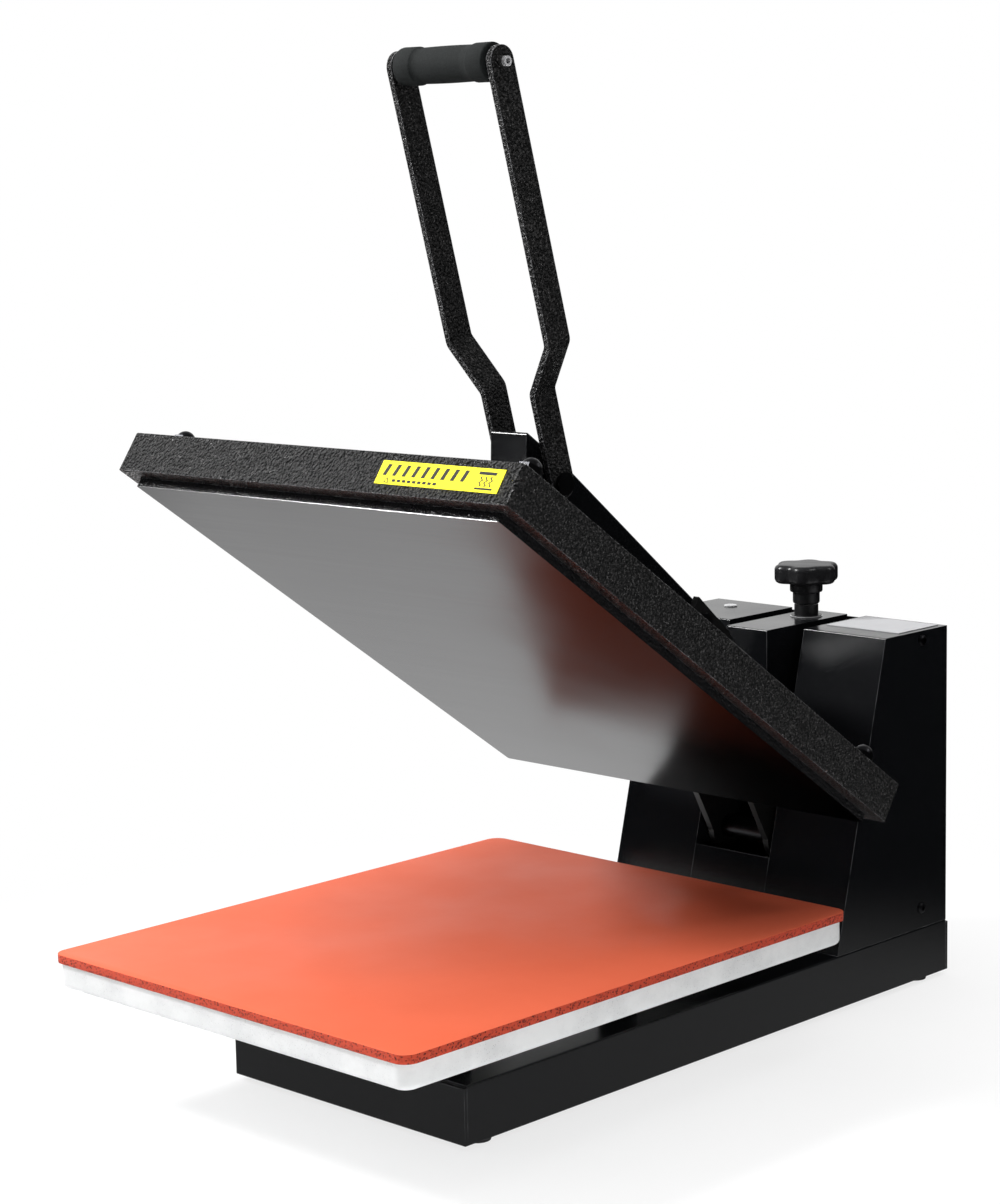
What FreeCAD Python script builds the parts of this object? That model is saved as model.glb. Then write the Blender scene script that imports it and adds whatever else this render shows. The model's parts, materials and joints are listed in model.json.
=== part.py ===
import FreeCAD, Part
import Sketcher
import math
import os

# A clamshell heat press: a sheet steel base and rear housing, a fixed lower platen with a silicone
# pad, and an arm that carries the heated platen and swings on a shaft inside the housing.
# Origin: centre of the overall box on the bench. +X is the operator's right, +Y runs to the rear.

doc = FreeCAD.newDocument("heat_press")

# ---------------------------------------------------------------- driving dimensions, millimetres
sizes = {
    # base and feet
    "base_width": 260, "base_front": -243.5, "base_rear": 368.5, "base_top": 51, "base_lip": 30,
    "steel": 2, "end_plate": 3, "end_drop": 2, "foot_height": 5, "foot_radius": 12, "foot_x": 114,
    "foot_front_y": -215, "foot_rear_y": 340,
    # lower platen and pad
    "pad_width": 400, "pad_depth": 500, "pad_centre_y": -118.5, "pad_top": 119.5,
    "platen_width": 395, "platen_depth": 496, "platen_bottom": 92, "platen_top": 112.5,
    "corner_radius": 12, "edge_radius": 5, "post_radius": 16, "post_x": 85, "post_pitch": 190,
    "bolt_radius": 4,
    # rear housing
    "house_top": 317, "house_rear": 365.5, "house_foot_y": 207.5, "house_brow_y": 275.5,
    "bay_half": 42, "sill_top": 120, "shaft_gap": 13,
    "tower_half": 22.5, "tower_front": 247.5, "tower_leg": 300, "tower_step": 190, "tower_lip": 230,
    "bracket_in": 46, "bracket_thick": 6, "bracket_half": 42, "bracket_top": 165,
    "label_front": 302.5, "label_depth": 58, "label_left": 46, "label_width": 78, "label_thick": 0.6,
    # hinge of the arm
    "pivot_y": 253.6, "pivot_z": 133.7, "open_angle": 34.76,
    "shaft_radius": 10, "shaft_half": 100, "bush_wall": 3, "run_gap": 0.06,
    "spring_in": 56, "spring_length": 34, "wire": 4, "collar_width": 8, "collar_radius": 16,
    # arm, measured from the front bottom edge of its cover
    "arm_pivot_y": 636.3, "arm_pivot_z": 6.7, "hinge_y": 221.2, "hinge_z": 129.2,
    "cover_width": 428, "cover_depth": 529, "cover_height": 34,
    "hot_width": 400.4, "hot_depth": 506, "hot_front": 12.7, "hot_drop": 7, "hot_top": 12,
    "slit": 0.5, "stud_x": 190, "stud_front": 30, "stud_rear": 500, "stud_radius": 5,
    "nut_height": 9, "nut_radius": 9.8, "dome_radius": 8, "washer_radius": 11, "washer": 2.5,
    "mount_half": 45, "mount_thick": 4, "mount_front": 165, "mount_rear": 525,
    "beam_half": 19.5, "beam_wall": 3, "beam_front": 170, "beam_flat": 228, "beam_rear": 480,
    "beam_top": 148, "beam_tail": 128.4, "beam_toe": 240,
    "cheek_in": 28, "cheek_thick": 6, "cheek_hub": 20, "cheek_front": 416,
    "cheek_bolt_y": 432, "cheek_bolt_z": 116, "bolt_head": 6.5, "head_height": 5,
    # handle, measured from its hinge pin on the beam
    "handle_lean": 15.1,
    "bar_thick": 5, "bar_width": 25, "bar_in": 24.5, "bar_spread": 51.5,
    "bend_low": 79, "bend_high": 119, "bend_radius": 6, "bend_slip": 2, "grip_z": 340,
    "pin_radius": 6, "pin_head": 9, "grip_radius": 13.8, "grip_collar": 15, "collar_length": 20,
    "rod_radius": 6, "screw_radius": 3, "screw_head": 4, "screw_hex": 2.4, "foam_gap": 3.2, "crank_angle": -99.96,
    "crank_length": 70.58, "crank_half": 5, "crank_radius": 9.5, "crank_pin": 5,
    # toggle link and pressure adjustment
    "link_radius": 12, "link_in": 6.5, "link_thick": 5,
    "block_y": 332.5, "block_pin_z": 153.4, "block_half": 19, "block_depth": 30,
    "block_bottom": 128, "block_top": 215, "fork_top": 185, "fork_half": 12.6,
    "slot_half": 8.2, "slot_rise": 16, "adjust_radius": 6, "adjust_bottom": 192,
    "knob_hub": 14.7, "knob_star": 29.5, "knob_base": 329, "star_base": 348, "knob_top": 365,
    "lobe_radius": 9, "lobes": 6, "collar_neck": 10.8,
    # controls on the left side
    "panel_y": 322, "panel_z": 240, "panel_width": 62, "panel_height": 92, "bezel": 3,
    "button_radius": 4.5, "button_drop": 26, "button_pitch": 13, "switch_z": 150,
    "switch_width": 19, "switch_height": 28, "rocker_radius": 18, "rocker_tall": 15,
    "inlet_x": -90, "inlet_z": 110, "inlet_width": 48, "inlet_height": 28, "blade_pitch": 7,
    "relay_x": 62, "relay_y": 290, "relay_width": 45, "relay_depth": 60, "relay_height": 22, "sink": 3,
}

sheet = doc.addObject("Spreadsheet::Sheet", "dims")
for row, (alias, value) in enumerate(sizes.items(), start=1):
    sheet.set("A%d" % row, alias)
    sheet.set("B%d" % row, str(value))
    sheet.setAlias("B%d" % row, alias)
doc.recompute()

nodes = {}          # label of each sub-part: its document object


def bound(text):
    """An expression with each size word pointed at the sheet."""
    words = []
    word = ""
    for sign in str(text) + " ":
        if sign.isalnum() or sign in "_.":
            word += sign
        else:
            words.append("dims." + word if word in sizes else word)
            words.append(sign)
            word = ""
    return "".join(words).strip()


def placed(place, frame="world"):
    """Placement expression in a named frame. place holds x, y, z and an optional axis name."""
    x, y, z = [bound(value) for value in place[:3]]
    turns = {"z": "0; 0; 1); 0", "x": "0; 1; 0); 90", "y": "1; 0; 0); -90"}
    turn = turns[place[3] if len(place) > 3 else "z"]
    spot = "create(<<placement>>; create(<<vector>>; %s; %s; %s); " % (x, y, z)
    return "frames.%s * %screate(<<rotation>>; create(<<vector>>; %s))" % (frame, spot, turn)


frames = doc.addObject("App::VarSet", "frames")


def add_frame(name, y, z, angle):
    frames.addProperty("App::PropertyPlacement", name)
    spot = "create(<<placement>>; create(<<vector>>; 0; %s; %s); " % (bound(y), bound(z))
    turn = "create(<<rotation>>; create(<<vector>>; 1; 0; 0); %s))" % bound(angle)
    frames.setExpression(name, spot + turn)


# Each moving part's frame lies on its hinge pin, worked out along the chain from the main shaft.
arm_y = "(pivot_y - arm_pivot_y*cos(open_angle) - arm_pivot_z*sin(open_angle))"
arm_z = "(pivot_z + arm_pivot_y*sin(open_angle) - arm_pivot_z*cos(open_angle))"
hinge_y = "(%s + hinge_y*cos(open_angle) + hinge_z*sin(open_angle))" % arm_y
hinge_z = "(%s - hinge_y*sin(open_angle) + hinge_z*cos(open_angle))" % arm_z
crank_y = "(%s + crank_length*cos(crank_angle))" % hinge_y
crank_z = "(%s + crank_length*sin(crank_angle))" % hinge_z
link_run = "(block_y - %s)" % crank_y
link_rise = "(block_pin_z - %s)" % crank_z
link_length = "(sqrt(%s^2 + %s^2))" % (link_run, link_rise)
add_frame("world", "0", "0", "0")
add_frame("arm", arm_y, arm_z, "-open_angle")
add_frame("handle", hinge_y, hinge_z, "handle_lean")
add_frame("crank", hinge_y, hinge_z, "crank_angle + 180")
add_frame("link", "block_y", "block_pin_z", "atan(%s/%s)" % (link_rise, link_run))
doc.recompute()


def add(kind, name, place, frame, **values):
    """A Part primitive with its sizes and its place bound to the sheet."""
    item = doc.addObject(kind, name)
    for key, value in values.items():
        item.setExpression(key, bound(value))
    item.setExpression("Placement", placed(place, frame))
    return item


def box(name, size, place, frame="world"):
    return add("Part::Box", name, place, frame, Length=size[0], Width=size[1], Height=size[2])


def rod(name, radius, length, place, frame="world"):
    return add("Part::Cylinder", name, place, frame, Radius=radius, Height=length)


def cut(name, base, *tools):
    """The base with each tool taken away."""
    result = base
    for number, tool in enumerate(tools):
        step = doc.addObject("Part::Cut", "%s_cut%d" % (name, number))
        step.Base = result
        step.Tool = tool
        result = step
    return result


def fuse(name, *pieces):
    whole = doc.addObject("Part::MultiFuse", name + "_fuse")
    whole.Shapes = list(pieces)
    return whole


def group(name, pieces):
    """Separate solids of identical pieces that share one node."""
    whole = doc.addObject("Part::Compound", name + "_group")
    whole.Links = list(pieces)
    return whole


def outline(name, plane, points, thickness, start="0", frame="world"):
    """A body: a closed outline on one origin plane, padded square to it from start."""
    body = doc.addObject("PartDesign::Body", name + "_body")
    sketch = body.newObject("Sketcher::SketchObject", name + "_sketch")
    base = [item for item in body.Origin.OriginFeatures if item.Role == plane][0]
    sketch.AttachmentSupport = [(base, "")]
    sketch.MapMode = "FlatFace"
    sketch.setExpression("AttachmentOffset.Base.z", bound(start))
    count = len(points)
    ring = [FreeCAD.Vector(50 * math.cos(2 * math.pi * i / count), 50 * math.sin(2 * math.pi * i / count), 0)
            for i in range(count)]
    for i in range(count):
        sketch.addGeometry(Part.LineSegment(ring[i], ring[(i + 1) % count]), False)
    for i in range(count):
        sketch.addConstraint(Sketcher.Constraint("Coincident", i, 2, (i + 1) % count, 1))
    for i, (across, up) in enumerate(points):
        for axis, value in (("DistanceX", across), ("DistanceY", up)):
            index = sketch.addConstraint(Sketcher.Constraint(axis, -1, 1, i, 1, 1.0))
            sketch.setExpression("Constraints[%d]" % index, bound(value))
    pad = body.newObject("PartDesign::Pad", name + "_pad")
    pad.Profile = sketch
    pad.setExpression("Length", bound(thickness))
    body.setExpression("Placement", "frames.%s" % frame)
    doc.recompute()
    return body


def round_edges(body, name, radius, chosen):
    """Fillet of a body's edges that the test picks by their ends."""
    tip = body.Tip
    edges = ["Edge%d" % (i + 1) for i, edge in enumerate(tip.Shape.Edges)
             if chosen([vertex.Point for vertex in edge.Vertexes])]
    fillet = body.newObject("PartDesign::Fillet", name + "_fillet")
    fillet.Base = (tip, edges)
    fillet.setExpression("Radius", bound(radius))
    doc.recompute()


def rectangle(x0, x1, y0, y1):
    return [(x0, y0), (x1, y0), (x1, y1), (x0, y1)]


def along(axis, ends):
    """True for an edge that runs parallel to the axis numbered 0, 1 or 2."""
    if len(ends) < 2:
        return False
    run = ends[1] - ends[0]
    return abs(run[axis]) > 0.99 * run.Length


def node(label, item):
    item.Label = label
    nodes[label] = item


def both(value):
    """A size and its mirror image about the middle plane."""
    return (value, "-(%s)" % value)



# ---------------------------------------------------------------- base

channel = outline("base_channel", "XZ_Plane", [
    ("-base_width/2", "foot_height"), ("-base_width/2 + base_lip", "foot_height"),
    ("-base_width/2 + base_lip", "foot_height + steel"), ("-base_width/2 + steel", "foot_height + steel"),
    ("-base_width/2 + steel", "base_top - steel"), ("base_width/2 - steel", "base_top - steel"),
    ("base_width/2 - steel", "foot_height + steel"), ("base_width/2 - base_lip", "foot_height + steel"),
    ("base_width/2 - base_lip", "foot_height"), ("base_width/2", "foot_height"),
    ("base_width/2", "base_top"), ("-base_width/2", "base_top")],
    "base_rear - base_front - 2*end_plate", "-(base_rear - end_plate)")
round_edges(channel, "base_channel", "1.5", lambda ends: along(1, ends)
            and ends[0].z > sizes["base_top"] - 0.1)
post_spots = [(x, "pad_centre_y + %s" % y) for x in both("post_x") for y in both("post_pitch/2")]
holes = [rod("base_hole", "bolt_radius", "10", (x, y, "base_top - 5")) for x, y in post_spots]
node("base_channel", cut("base_channel", channel, *holes))

end = outline("base_front_plate", "XZ_Plane",
              rectangle("-base_width/2", "base_width/2", "foot_height", "base_top - end_drop"),
              "end_plate", "-(base_front + end_plate)")
node("base_front_plate", end)
end = outline("base_rear_plate", "XZ_Plane",
              rectangle("-base_width/2", "base_width/2", "foot_height", "base_top - end_drop"),
              "end_plate", "-base_rear")
node("base_rear_plate", end)

feet = []
for x in both("foot_x"):
    for y in ("foot_front_y", "foot_rear_y"):
        foot = add("Part::Cone", "foot", (x, y, "0"), "world", Radius1="foot_radius - 1.5",
                   Radius2="foot_radius", Height="foot_height")
        feet.append(foot)
node("rubber_feet", group("rubber_feet", feet))

posts = [cut("post", rod("post_tube", "post_radius", "platen_bottom - base_top", (x, y, "base_top")),
             rod("post_bore", "bolt_radius", "25", (x, y, "base_top - 1"))) for x, y in post_spots]
node("platen_posts", group("platen_posts", posts))
bolts = [fuse("post_bolt", rod("shank", "bolt_radius", "22", (x, y, "base_top - steel")),
              rod("head", "bolt_head", "head_height", (x, y, "base_top - steel - head_height")))
         for x, y in post_spots]
node("post_bolts", group("post_bolts", bolts))

# ---------------------------------------------------------------- lower platen and pad

platen = outline("lower_platen", "XY_Plane", rectangle(
    "-platen_width/2", "platen_width/2", "pad_centre_y - platen_depth/2", "pad_centre_y + platen_depth/2"),
    "platen_top - platen_bottom", "platen_bottom")
round_edges(platen, "platen_corner", "corner_radius", lambda ends: along(2, ends))
round_edges(platen, "platen_rim", "edge_radius",
            lambda ends: max(point.z for point in ends) < sizes["platen_bottom"] + 0.1)
node("lower_platen", platen)

pad = outline("silicone_pad", "XY_Plane", rectangle(
    "-pad_width/2", "pad_width/2", "pad_centre_y - pad_depth/2", "pad_centre_y + pad_depth/2"),
    "pad_top - platen_top", "platen_top")
round_edges(pad, "pad_corner", "corner_radius", lambda ends: along(2, ends))
node("silicone_pad", pad)

# ---------------------------------------------------------------- rear housing

slope = "(house_brow_y - house_foot_y)/(house_top - base_top)"


def side_shell(name, x_start):
    """One side block of the housing: a folded box, open below and at the rear."""
    shell = outline(name, "YZ_Plane", [
        ("house_foot_y", "base_top"), ("house_rear", "base_top"), ("house_rear", "house_top"),
        ("house_brow_y", "house_top")], "base_width/2 - bay_half", x_start)
    round_edges(shell, name, "1.2", lambda ends: along(0, ends)
                and ends[0].z > sizes["house_top"] - 1 and ends[0].y < sizes["house_rear"] - 1)
    inside = outline(name + "_inside", "YZ_Plane", [
        ("house_foot_y + steel", "base_top - 1"), ("house_rear + 1", "base_top - 1"),
        ("house_rear + 1", "house_top - steel"), ("house_brow_y + steel", "house_top - steel")],
        "base_width/2 - bay_half - 2*steel", x_start + " + steel")
    return cut(name, shell, inside)


gap = rod("shaft_gap", "shaft_gap", "2*bay_half + 3*steel", (
    "-bay_half - 1.5*steel", "pivot_y", "pivot_z", "x"))
right = side_shell("housing_right", "bay_half")
node("housing_right", cut("housing_right_gap", right, gap))

gap = rod("shaft_gap", "shaft_gap", "2*bay_half + 3*steel", (
    "-bay_half - 1.5*steel", "pivot_y", "pivot_z", "x"))
left = side_shell("housing_left", "-base_width/2")
window = box("panel_window", ("3*steel", "panel_width - 8", "panel_height - 8"),
             ("-base_width/2 - steel", "panel_y - panel_width/2 + 4", "panel_z - panel_height/2 + 4"))
port = box("switch_window", ("3*steel", "switch_width - 4", "switch_height - 4"),
           ("-base_width/2 - steel", "panel_y - switch_width/2 + 2", "switch_z - switch_height/2 + 2"))
node("housing_left", cut("housing_left_gap", left, gap, window, port))

sill = outline("bay_sill", "YZ_Plane", [
    ("house_foot_y", "base_top"), ("house_foot_y + steel", "base_top"),
    ("house_foot_y + steel + (sill_top - base_top)*" + slope, "sill_top"),
    ("house_foot_y + (sill_top - base_top)*" + slope, "sill_top")], "2*bay_half", "-bay_half")
node("bay_sill", sill)

panel = box("rear_sheet", ("base_width - 2*steel", "steel", "house_top - base_top - steel"),
            ("-base_width/2 + steel", "house_rear - steel", "base_top"))
notches = [box("shell_notch", ("steel + 0.2", "steel + 1", "house_top"),
               (x, "house_rear - steel - 0.5", "base_top - 1"))
           for x in ("bay_half - 0.1", "-bay_half - steel - 0.1")]
port = box("inlet_port", ("inlet_width - 8", "3*steel", "inlet_height - 4"),
           ("inlet_x - inlet_width/2 + 4", "house_rear - 2*steel", "inlet_z - inlet_height/2 + 2"))
node("rear_panel", cut("rear_panel", panel, *notches, port))

# The tower between the two side blocks guides the pressure block and carries the adjusting screw.
tower_side = [("tower_leg", "base_top"), ("house_rear - steel", "base_top"),
              ("house_rear - steel", "house_top"), ("tower_front", "house_top"),
              ("tower_front", "tower_lip"), ("tower_leg", "tower_step")]
tower = outline("tower", "YZ_Plane", tower_side, "2*tower_half", "-tower_half")
round_edges(tower, "tower", "1.2", lambda ends: along(0, ends)
            and ends[0].z > sizes["house_top"] - 1 and ends[0].y < sizes["tower_leg"])
hollow = box("tower_hollow", ("2*(tower_half - steel)", "house_rear", "house_top - base_top - 2*steel + 1"),
             ("-tower_half + steel", "tower_front + steel", "base_top - 1"))
mouth = box("tower_mouth",
            ("2*(tower_half - steel)", "2*(tower_leg - tower_front)", "tower_lip - base_top + 1"),
            ("-tower_half + steel", "tower_front - 10", "base_top - 1"))
bore = rod("tower_bore", "collar_neck - 2", "8*steel", ("0", "block_y", "house_top - 4*steel"))
node("pressure_tower", cut("pressure_tower", tower, hollow, mouth, bore))

bush = fuse("screw_bush",
            rod("bush_neck", "collar_neck", "knob_base - house_top - 1", ("0", "block_y", "house_top")),
            rod("bush_plug", "collar_neck - 2", "12", ("0", "block_y", "house_top - 10")),
            rod("bush_seat", "collar_neck + 3", "1.5", ("0", "block_y", "house_top")))
node("screw_bush", cut("screw_bush", bush, rod("bush_bore", "adjust_radius + run_gap", "60",
                                               ("0", "block_y", "house_top - 30"))))

brackets = []
for x in ("bracket_in", "-bracket_in - bracket_thick"):
    plate = outline("pivot_bracket", "YZ_Plane", [
        ("pivot_y - bracket_half + 12", "base_top"), ("pivot_y + bracket_half", "base_top"),
        ("pivot_y + bracket_half - 20", "bracket_top"), ("pivot_y - bracket_half + 32", "bracket_top")],
        "bracket_thick", x)
    hole = rod("bracket_bore", "shaft_radius + run_gap + bush_wall", "3*bracket_thick",
               (x + " - bracket_thick", "pivot_y", "pivot_z", "x"))
    brackets.append(cut("bracket", plate, hole))
node("pivot_brackets", group("pivot_brackets", brackets))

bushes = []
for x in ("bracket_in - 1", "-bracket_in - bracket_thick - 1"):
    ring = rod("bush_ring", "shaft_radius + run_gap + bush_wall", "bracket_thick + 2",
               (x, "pivot_y", "pivot_z", "x"))
    bore = rod("bush_bore", "shaft_radius + run_gap", "4*bracket_thick",
               (x + " - 5", "pivot_y", "pivot_z", "x"))
    bushes.append(cut("shaft_bush", ring, bore))
node("shaft_bushes", group("shaft_bushes", bushes))


def torsion_spring(x_start):
    """A close-wound coil round the shaft, as a ribbed sleeve, with its fixed leg."""
    turns = round(sizes["spring_length"] / sizes["wire"])
    inner = sizes["shaft_radius"] + 3.5
    points = [FreeCAD.Vector(0, inner, 0)]
    for i in range(turns):
        left_edge = sizes["wire"] * i
        crest = inner + sizes["wire"]
        points.append(FreeCAD.Vector(left_edge, crest - 1, 0))
        points.append(FreeCAD.Vector(left_edge + sizes["wire"] / 2, crest, 0))
    points.append(FreeCAD.Vector(sizes["wire"] * turns, crest - 1, 0))
    points.append(FreeCAD.Vector(sizes["wire"] * turns, inner, 0))
    face = Part.Face(Part.makePolygon(points + points[:1]))
    coil = face.revolve(FreeCAD.Vector(0, 0, 0), FreeCAD.Vector(1, 0, 0), 360)
    half = sizes["wire"] / 2
    leg = Part.makeCylinder(half, 42, FreeCAD.Vector(half, 0, -inner - half), FreeCAD.Vector(0, 1, 0))
    shape = coil.fuse(leg)
    shape.translate(FreeCAD.Vector(x_start, 0, 0))
    return shape


spring = doc.addObject("Part::Feature", "counterbalance_springs")
start = sizes["spring_in"]
run = round(sizes["spring_length"] / sizes["wire"]) * sizes["wire"]
spring.Shape = Part.makeCompound([torsion_spring(start), torsion_spring(-start - run)])
spring.Placement = FreeCAD.Placement(
    FreeCAD.Vector(0, sizes["pivot_y"], sizes["pivot_z"]), FreeCAD.Rotation())
node("counterbalance_springs", spring)

plate = box("label_plate", ("label_width", "label_depth", "label_thick"),
            ("label_left", "label_front", "house_top"))
node("label_plate", plate)

# ---------------------------------------------------------------- controls and electrics

face_x = "-base_width/2"
bezel = box("bezel_block", ("bezel", "panel_width", "panel_height"),
            (face_x + " - bezel", "panel_y - panel_width/2", "panel_z - panel_height/2"))
screen = box("bezel_window", ("3*bezel", "panel_width - 16", "38"),
             (face_x + " - 2*bezel", "panel_y - panel_width/2 + 8", "panel_z - 2"))
button_spots = [("set_button", "-1.5"), ("down_button", "-0.5"),
                ("up_button", "0.5"), ("mode_button", "1.5")]
button_holes = [rod("button_hole", "button_radius + 0.4", "3*bezel",
                    (face_x + " - 2*bezel", "panel_y + %s*button_pitch" % shift,
                     "panel_z - button_drop", "x"))
                for name, shift in button_spots]
node("controller_bezel", cut("controller_bezel", bezel, screen, *button_holes))
glass = box("controller_display", ("2", "panel_width - 16.4", "37.6"),
            (face_x + " - 2", "panel_y - panel_width/2 + 8.2", "panel_z - 1.8"))
node("controller_display", glass)
board = box("controller_board", ("2", "panel_width - 10", "panel_height - 10"),
            (face_x + " + steel + 5", "panel_y - panel_width/2 + 5", "panel_z - panel_height/2 + 5"))
node("controller_board", board)
for name, shift in button_spots:
    cap = fuse(name, rod(name + "_cap", "button_radius", "5",
                         (face_x + " - bezel - 1.5", "panel_y + %s*button_pitch" % shift,
                          "panel_z - button_drop", "x")),
               rod(name + "_stem", "2", "6", (face_x + " - 1", "panel_y + %s*button_pitch" % shift,
                                              "panel_z - button_drop", "x")))
    node(name, cap)

bezel = box("switch_block", ("bezel + 12", "switch_width", "switch_height"),
            (face_x + " - bezel", "panel_y - switch_width/2", "switch_z - switch_height/2"))
step = cut("switch_step", bezel, cut("switch_skirt", box("skirt_outer", ("20", "30", "40"), (
    face_x, "panel_y - 15", "switch_z - 20")), box("skirt_inner", (
        "30", "switch_width - 4", "switch_height - 4"), (
        face_x + " - 5", "panel_y - switch_width/2 + 2", "switch_z - switch_height/2 + 2"))))
well = box("rocker_well", ("12", "switch_width - 6", "switch_height - 7"),
           (face_x + " - bezel - 1", "panel_y - switch_width/2 + 3", "switch_z - switch_height/2 + 3.5"))
node("switch_bezel", cut("switch_bezel", step, well))
key = rod("rocker_round", "rocker_radius", "switch_width - 7",
          (face_x + " + rocker_radius - 6", "panel_y - switch_width/2 + 3.5", "switch_z", "y"))
trim = box("rocker_trim", ("9", "switch_width", "rocker_tall"),
           (face_x + " - 7", "panel_y - switch_width/2", "switch_z - rocker_tall/2"))
rocker = doc.addObject("Part::Common", "rocker_common")
rocker.Base = key
rocker.Tool = trim
node("power_rocker", rocker)

flange = box("inlet_flange", ("inlet_width", "3", "inlet_height"),
             ("inlet_x - inlet_width/2", "house_rear", "inlet_z - inlet_height/2"))
tub = box("inlet_tub", ("inlet_width - 8", "20 + steel", "inlet_height - 4"),
          ("inlet_x - inlet_width/2 + 4", "house_rear - 20 - steel", "inlet_z - inlet_height/2 + 2"))
socket = box("inlet_socket", ("inlet_width - 22", "20", "inlet_height - 10"),
             ("inlet_x - inlet_width/2 + 11", "house_rear - 15", "inlet_z - inlet_height/2 + 5"))
shell = cut("mains_inlet", fuse("inlet_shell", flange, tub), socket)
blades = [box("inlet_blade", ("2", "12", "6"),
              ("inlet_x - 1 + %s*blade_pitch" % step, "house_rear - 15.5", "inlet_z - 3"))
          for step in ("-1", "0", "1")]
node("mains_inlet", fuse("inlet", shell, *blades))

relay = fuse("relay",
             box("relay_body", ("relay_width", "relay_depth", "relay_height"),
                 ("relay_x", "relay_y", "base_top + sink")),
             box("relay_sink", ("relay_width + 7", "relay_depth + 10", "sink"),
                 ("relay_x - 4", "relay_y - 5", "base_top")))
node("relay_module", relay)

# ---------------------------------------------------------------- arm: cover, hot platen and beam

stud_spots = [(x, y) for x in both("stud_x") for y in ("stud_front", "stud_rear")]


def stud_holes(name, radius, length, z):
    return [rod(name, radius, length, (x, y, z), "arm") for x, y in stud_spots]


cover = outline("cover", "XY_Plane", rectangle("-cover_width/2", "cover_width/2", "0", "cover_depth"),
                "cover_height", "0", "arm")
round_edges(cover, "cover_corner", "2.5", lambda ends: along(2, ends))
round_edges(cover, "cover_brow", "1.2",
            lambda ends: min(point.z for point in ends) > sizes["cover_height"] - 0.1)
cavity = box("cover_cavity", ("cover_width - 2*steel", "cover_depth - 2*steel", "cover_height - 2*steel"),
             ("-cover_width/2 + steel", "steel", "steel"), "arm")
opening = box("cover_opening", ("hot_width + 2*slit", "hot_depth + 2*slit", "3*steel"),
              ("-hot_width/2 - slit", "hot_front - slit", "-steel"), "arm")
gland_hole = rod("gland_hole", "6", "4*steel", ("150", "cover_depth - 3*steel", "18", "y"), "arm")
node("upper_cover", cut("upper_cover", cover, cavity, opening, gland_hole,
                        *stud_holes("cover_hole", "stud_radius", "4*steel", "cover_height - 3*steel")))

hot = outline("heat_platen", "XY_Plane", rectangle(
    "-hot_width/2", "hot_width/2", "hot_front", "hot_front + hot_depth"),
    "hot_top + hot_drop", "-hot_drop", "arm")
round_edges(hot, "heat_platen", "2", lambda ends: along(2, ends))
node("heat_platen", hot)


def element_path():
    """Hairpin run of the tubular element over the hot platen."""
    rows = 8
    pitch = sizes["hot_depth"] / (rows + 1)
    reach = sizes["hot_width"] / 2 - 60
    edges = []
    side = -1
    for i in range(rows):
        y = sizes["hot_front"] + pitch * (i + 1)
        edges.append(Part.makeLine(FreeCAD.Vector(side * reach, y, 0), FreeCAD.Vector(-side * reach, y, 0)))
        side = -side
        if i < rows - 1:
            arc = Part.Arc(FreeCAD.Vector(side * reach, y, 0),
                           FreeCAD.Vector(side * (reach + pitch / 2), y + pitch / 2, 0),
                           FreeCAD.Vector(side * reach, y + pitch, 0))
            edges.append(arc.toShape())
    return Part.Wire(edges)


tube_radius = 4
path = element_path()
circle = Part.Wire([Part.makeCircle(tube_radius, path.Vertexes[0].Point, FreeCAD.Vector(1, 0, 0))])
element = doc.addObject("Part::Feature", "heating_element")
element.Shape = path.makePipeShell([circle], True, False)
lift = FreeCAD.Placement(FreeCAD.Vector(0, 0, sizes["hot_top"] + tube_radius), FreeCAD.Rotation())
element.Placement = frames.arm.multiply(lift)
node("heating_element", element)

mat = box("mat_block", ("hot_width - 12", "hot_depth - 12", "8"),
          ("-hot_width/2 + 6", "hot_front + 6", "hot_top + 2*%s + 1" % tube_radius), "arm")
node("insulation_mat", cut("insulation_mat", mat, *stud_holes("mat_hole", "stud_radius + 1", "40", "0")))

studs = stud_holes(
    "platen_stud", "stud_radius", "cover_height + washer + nut_height + 3 - hot_top", "hot_top")
node("platen_studs", group("platen_studs", studs))
washers = [cut("washer", disc, hole) for disc, hole in
           zip(stud_holes("washer_disc", "washer_radius", "washer", "cover_height"),
               stud_holes("washer_hole", "stud_radius", "3*washer", "cover_height - washer"))]
node("stud_washers", group("stud_washers", washers))
nuts = []
for x, y in stud_spots:
    base = add("Part::Prism", "nut_hex", (x, y, "cover_height + washer"), "arm",
               Circumradius="nut_radius", Height="nut_height")
    base.Polygon = 6
    dome = add("Part::Sphere", "nut_dome", (x, y, "cover_height + washer + nut_height - 1"), "arm",
               Radius="dome_radius")
    hole = rod("nut_bore", "stud_radius", "nut_height + 3 + washer", (x, y, "cover_height"), "arm")
    nuts.append(cut("acorn_nut", fuse("nut", base, dome), hole,
                    box("nut_underside", ("40", "40", "20"), (x + " - 20", y + " - 20",
                                                              "cover_height + washer - 20"), "arm")))
node("acorn_nuts", group("acorn_nuts", nuts))

mount = box("arm_mount_plate", ("2*mount_half", "mount_rear - mount_front", "mount_thick"),
            ("-mount_half", "mount_front", "cover_height"), "arm")
node("arm_mount_plate", mount)

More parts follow.
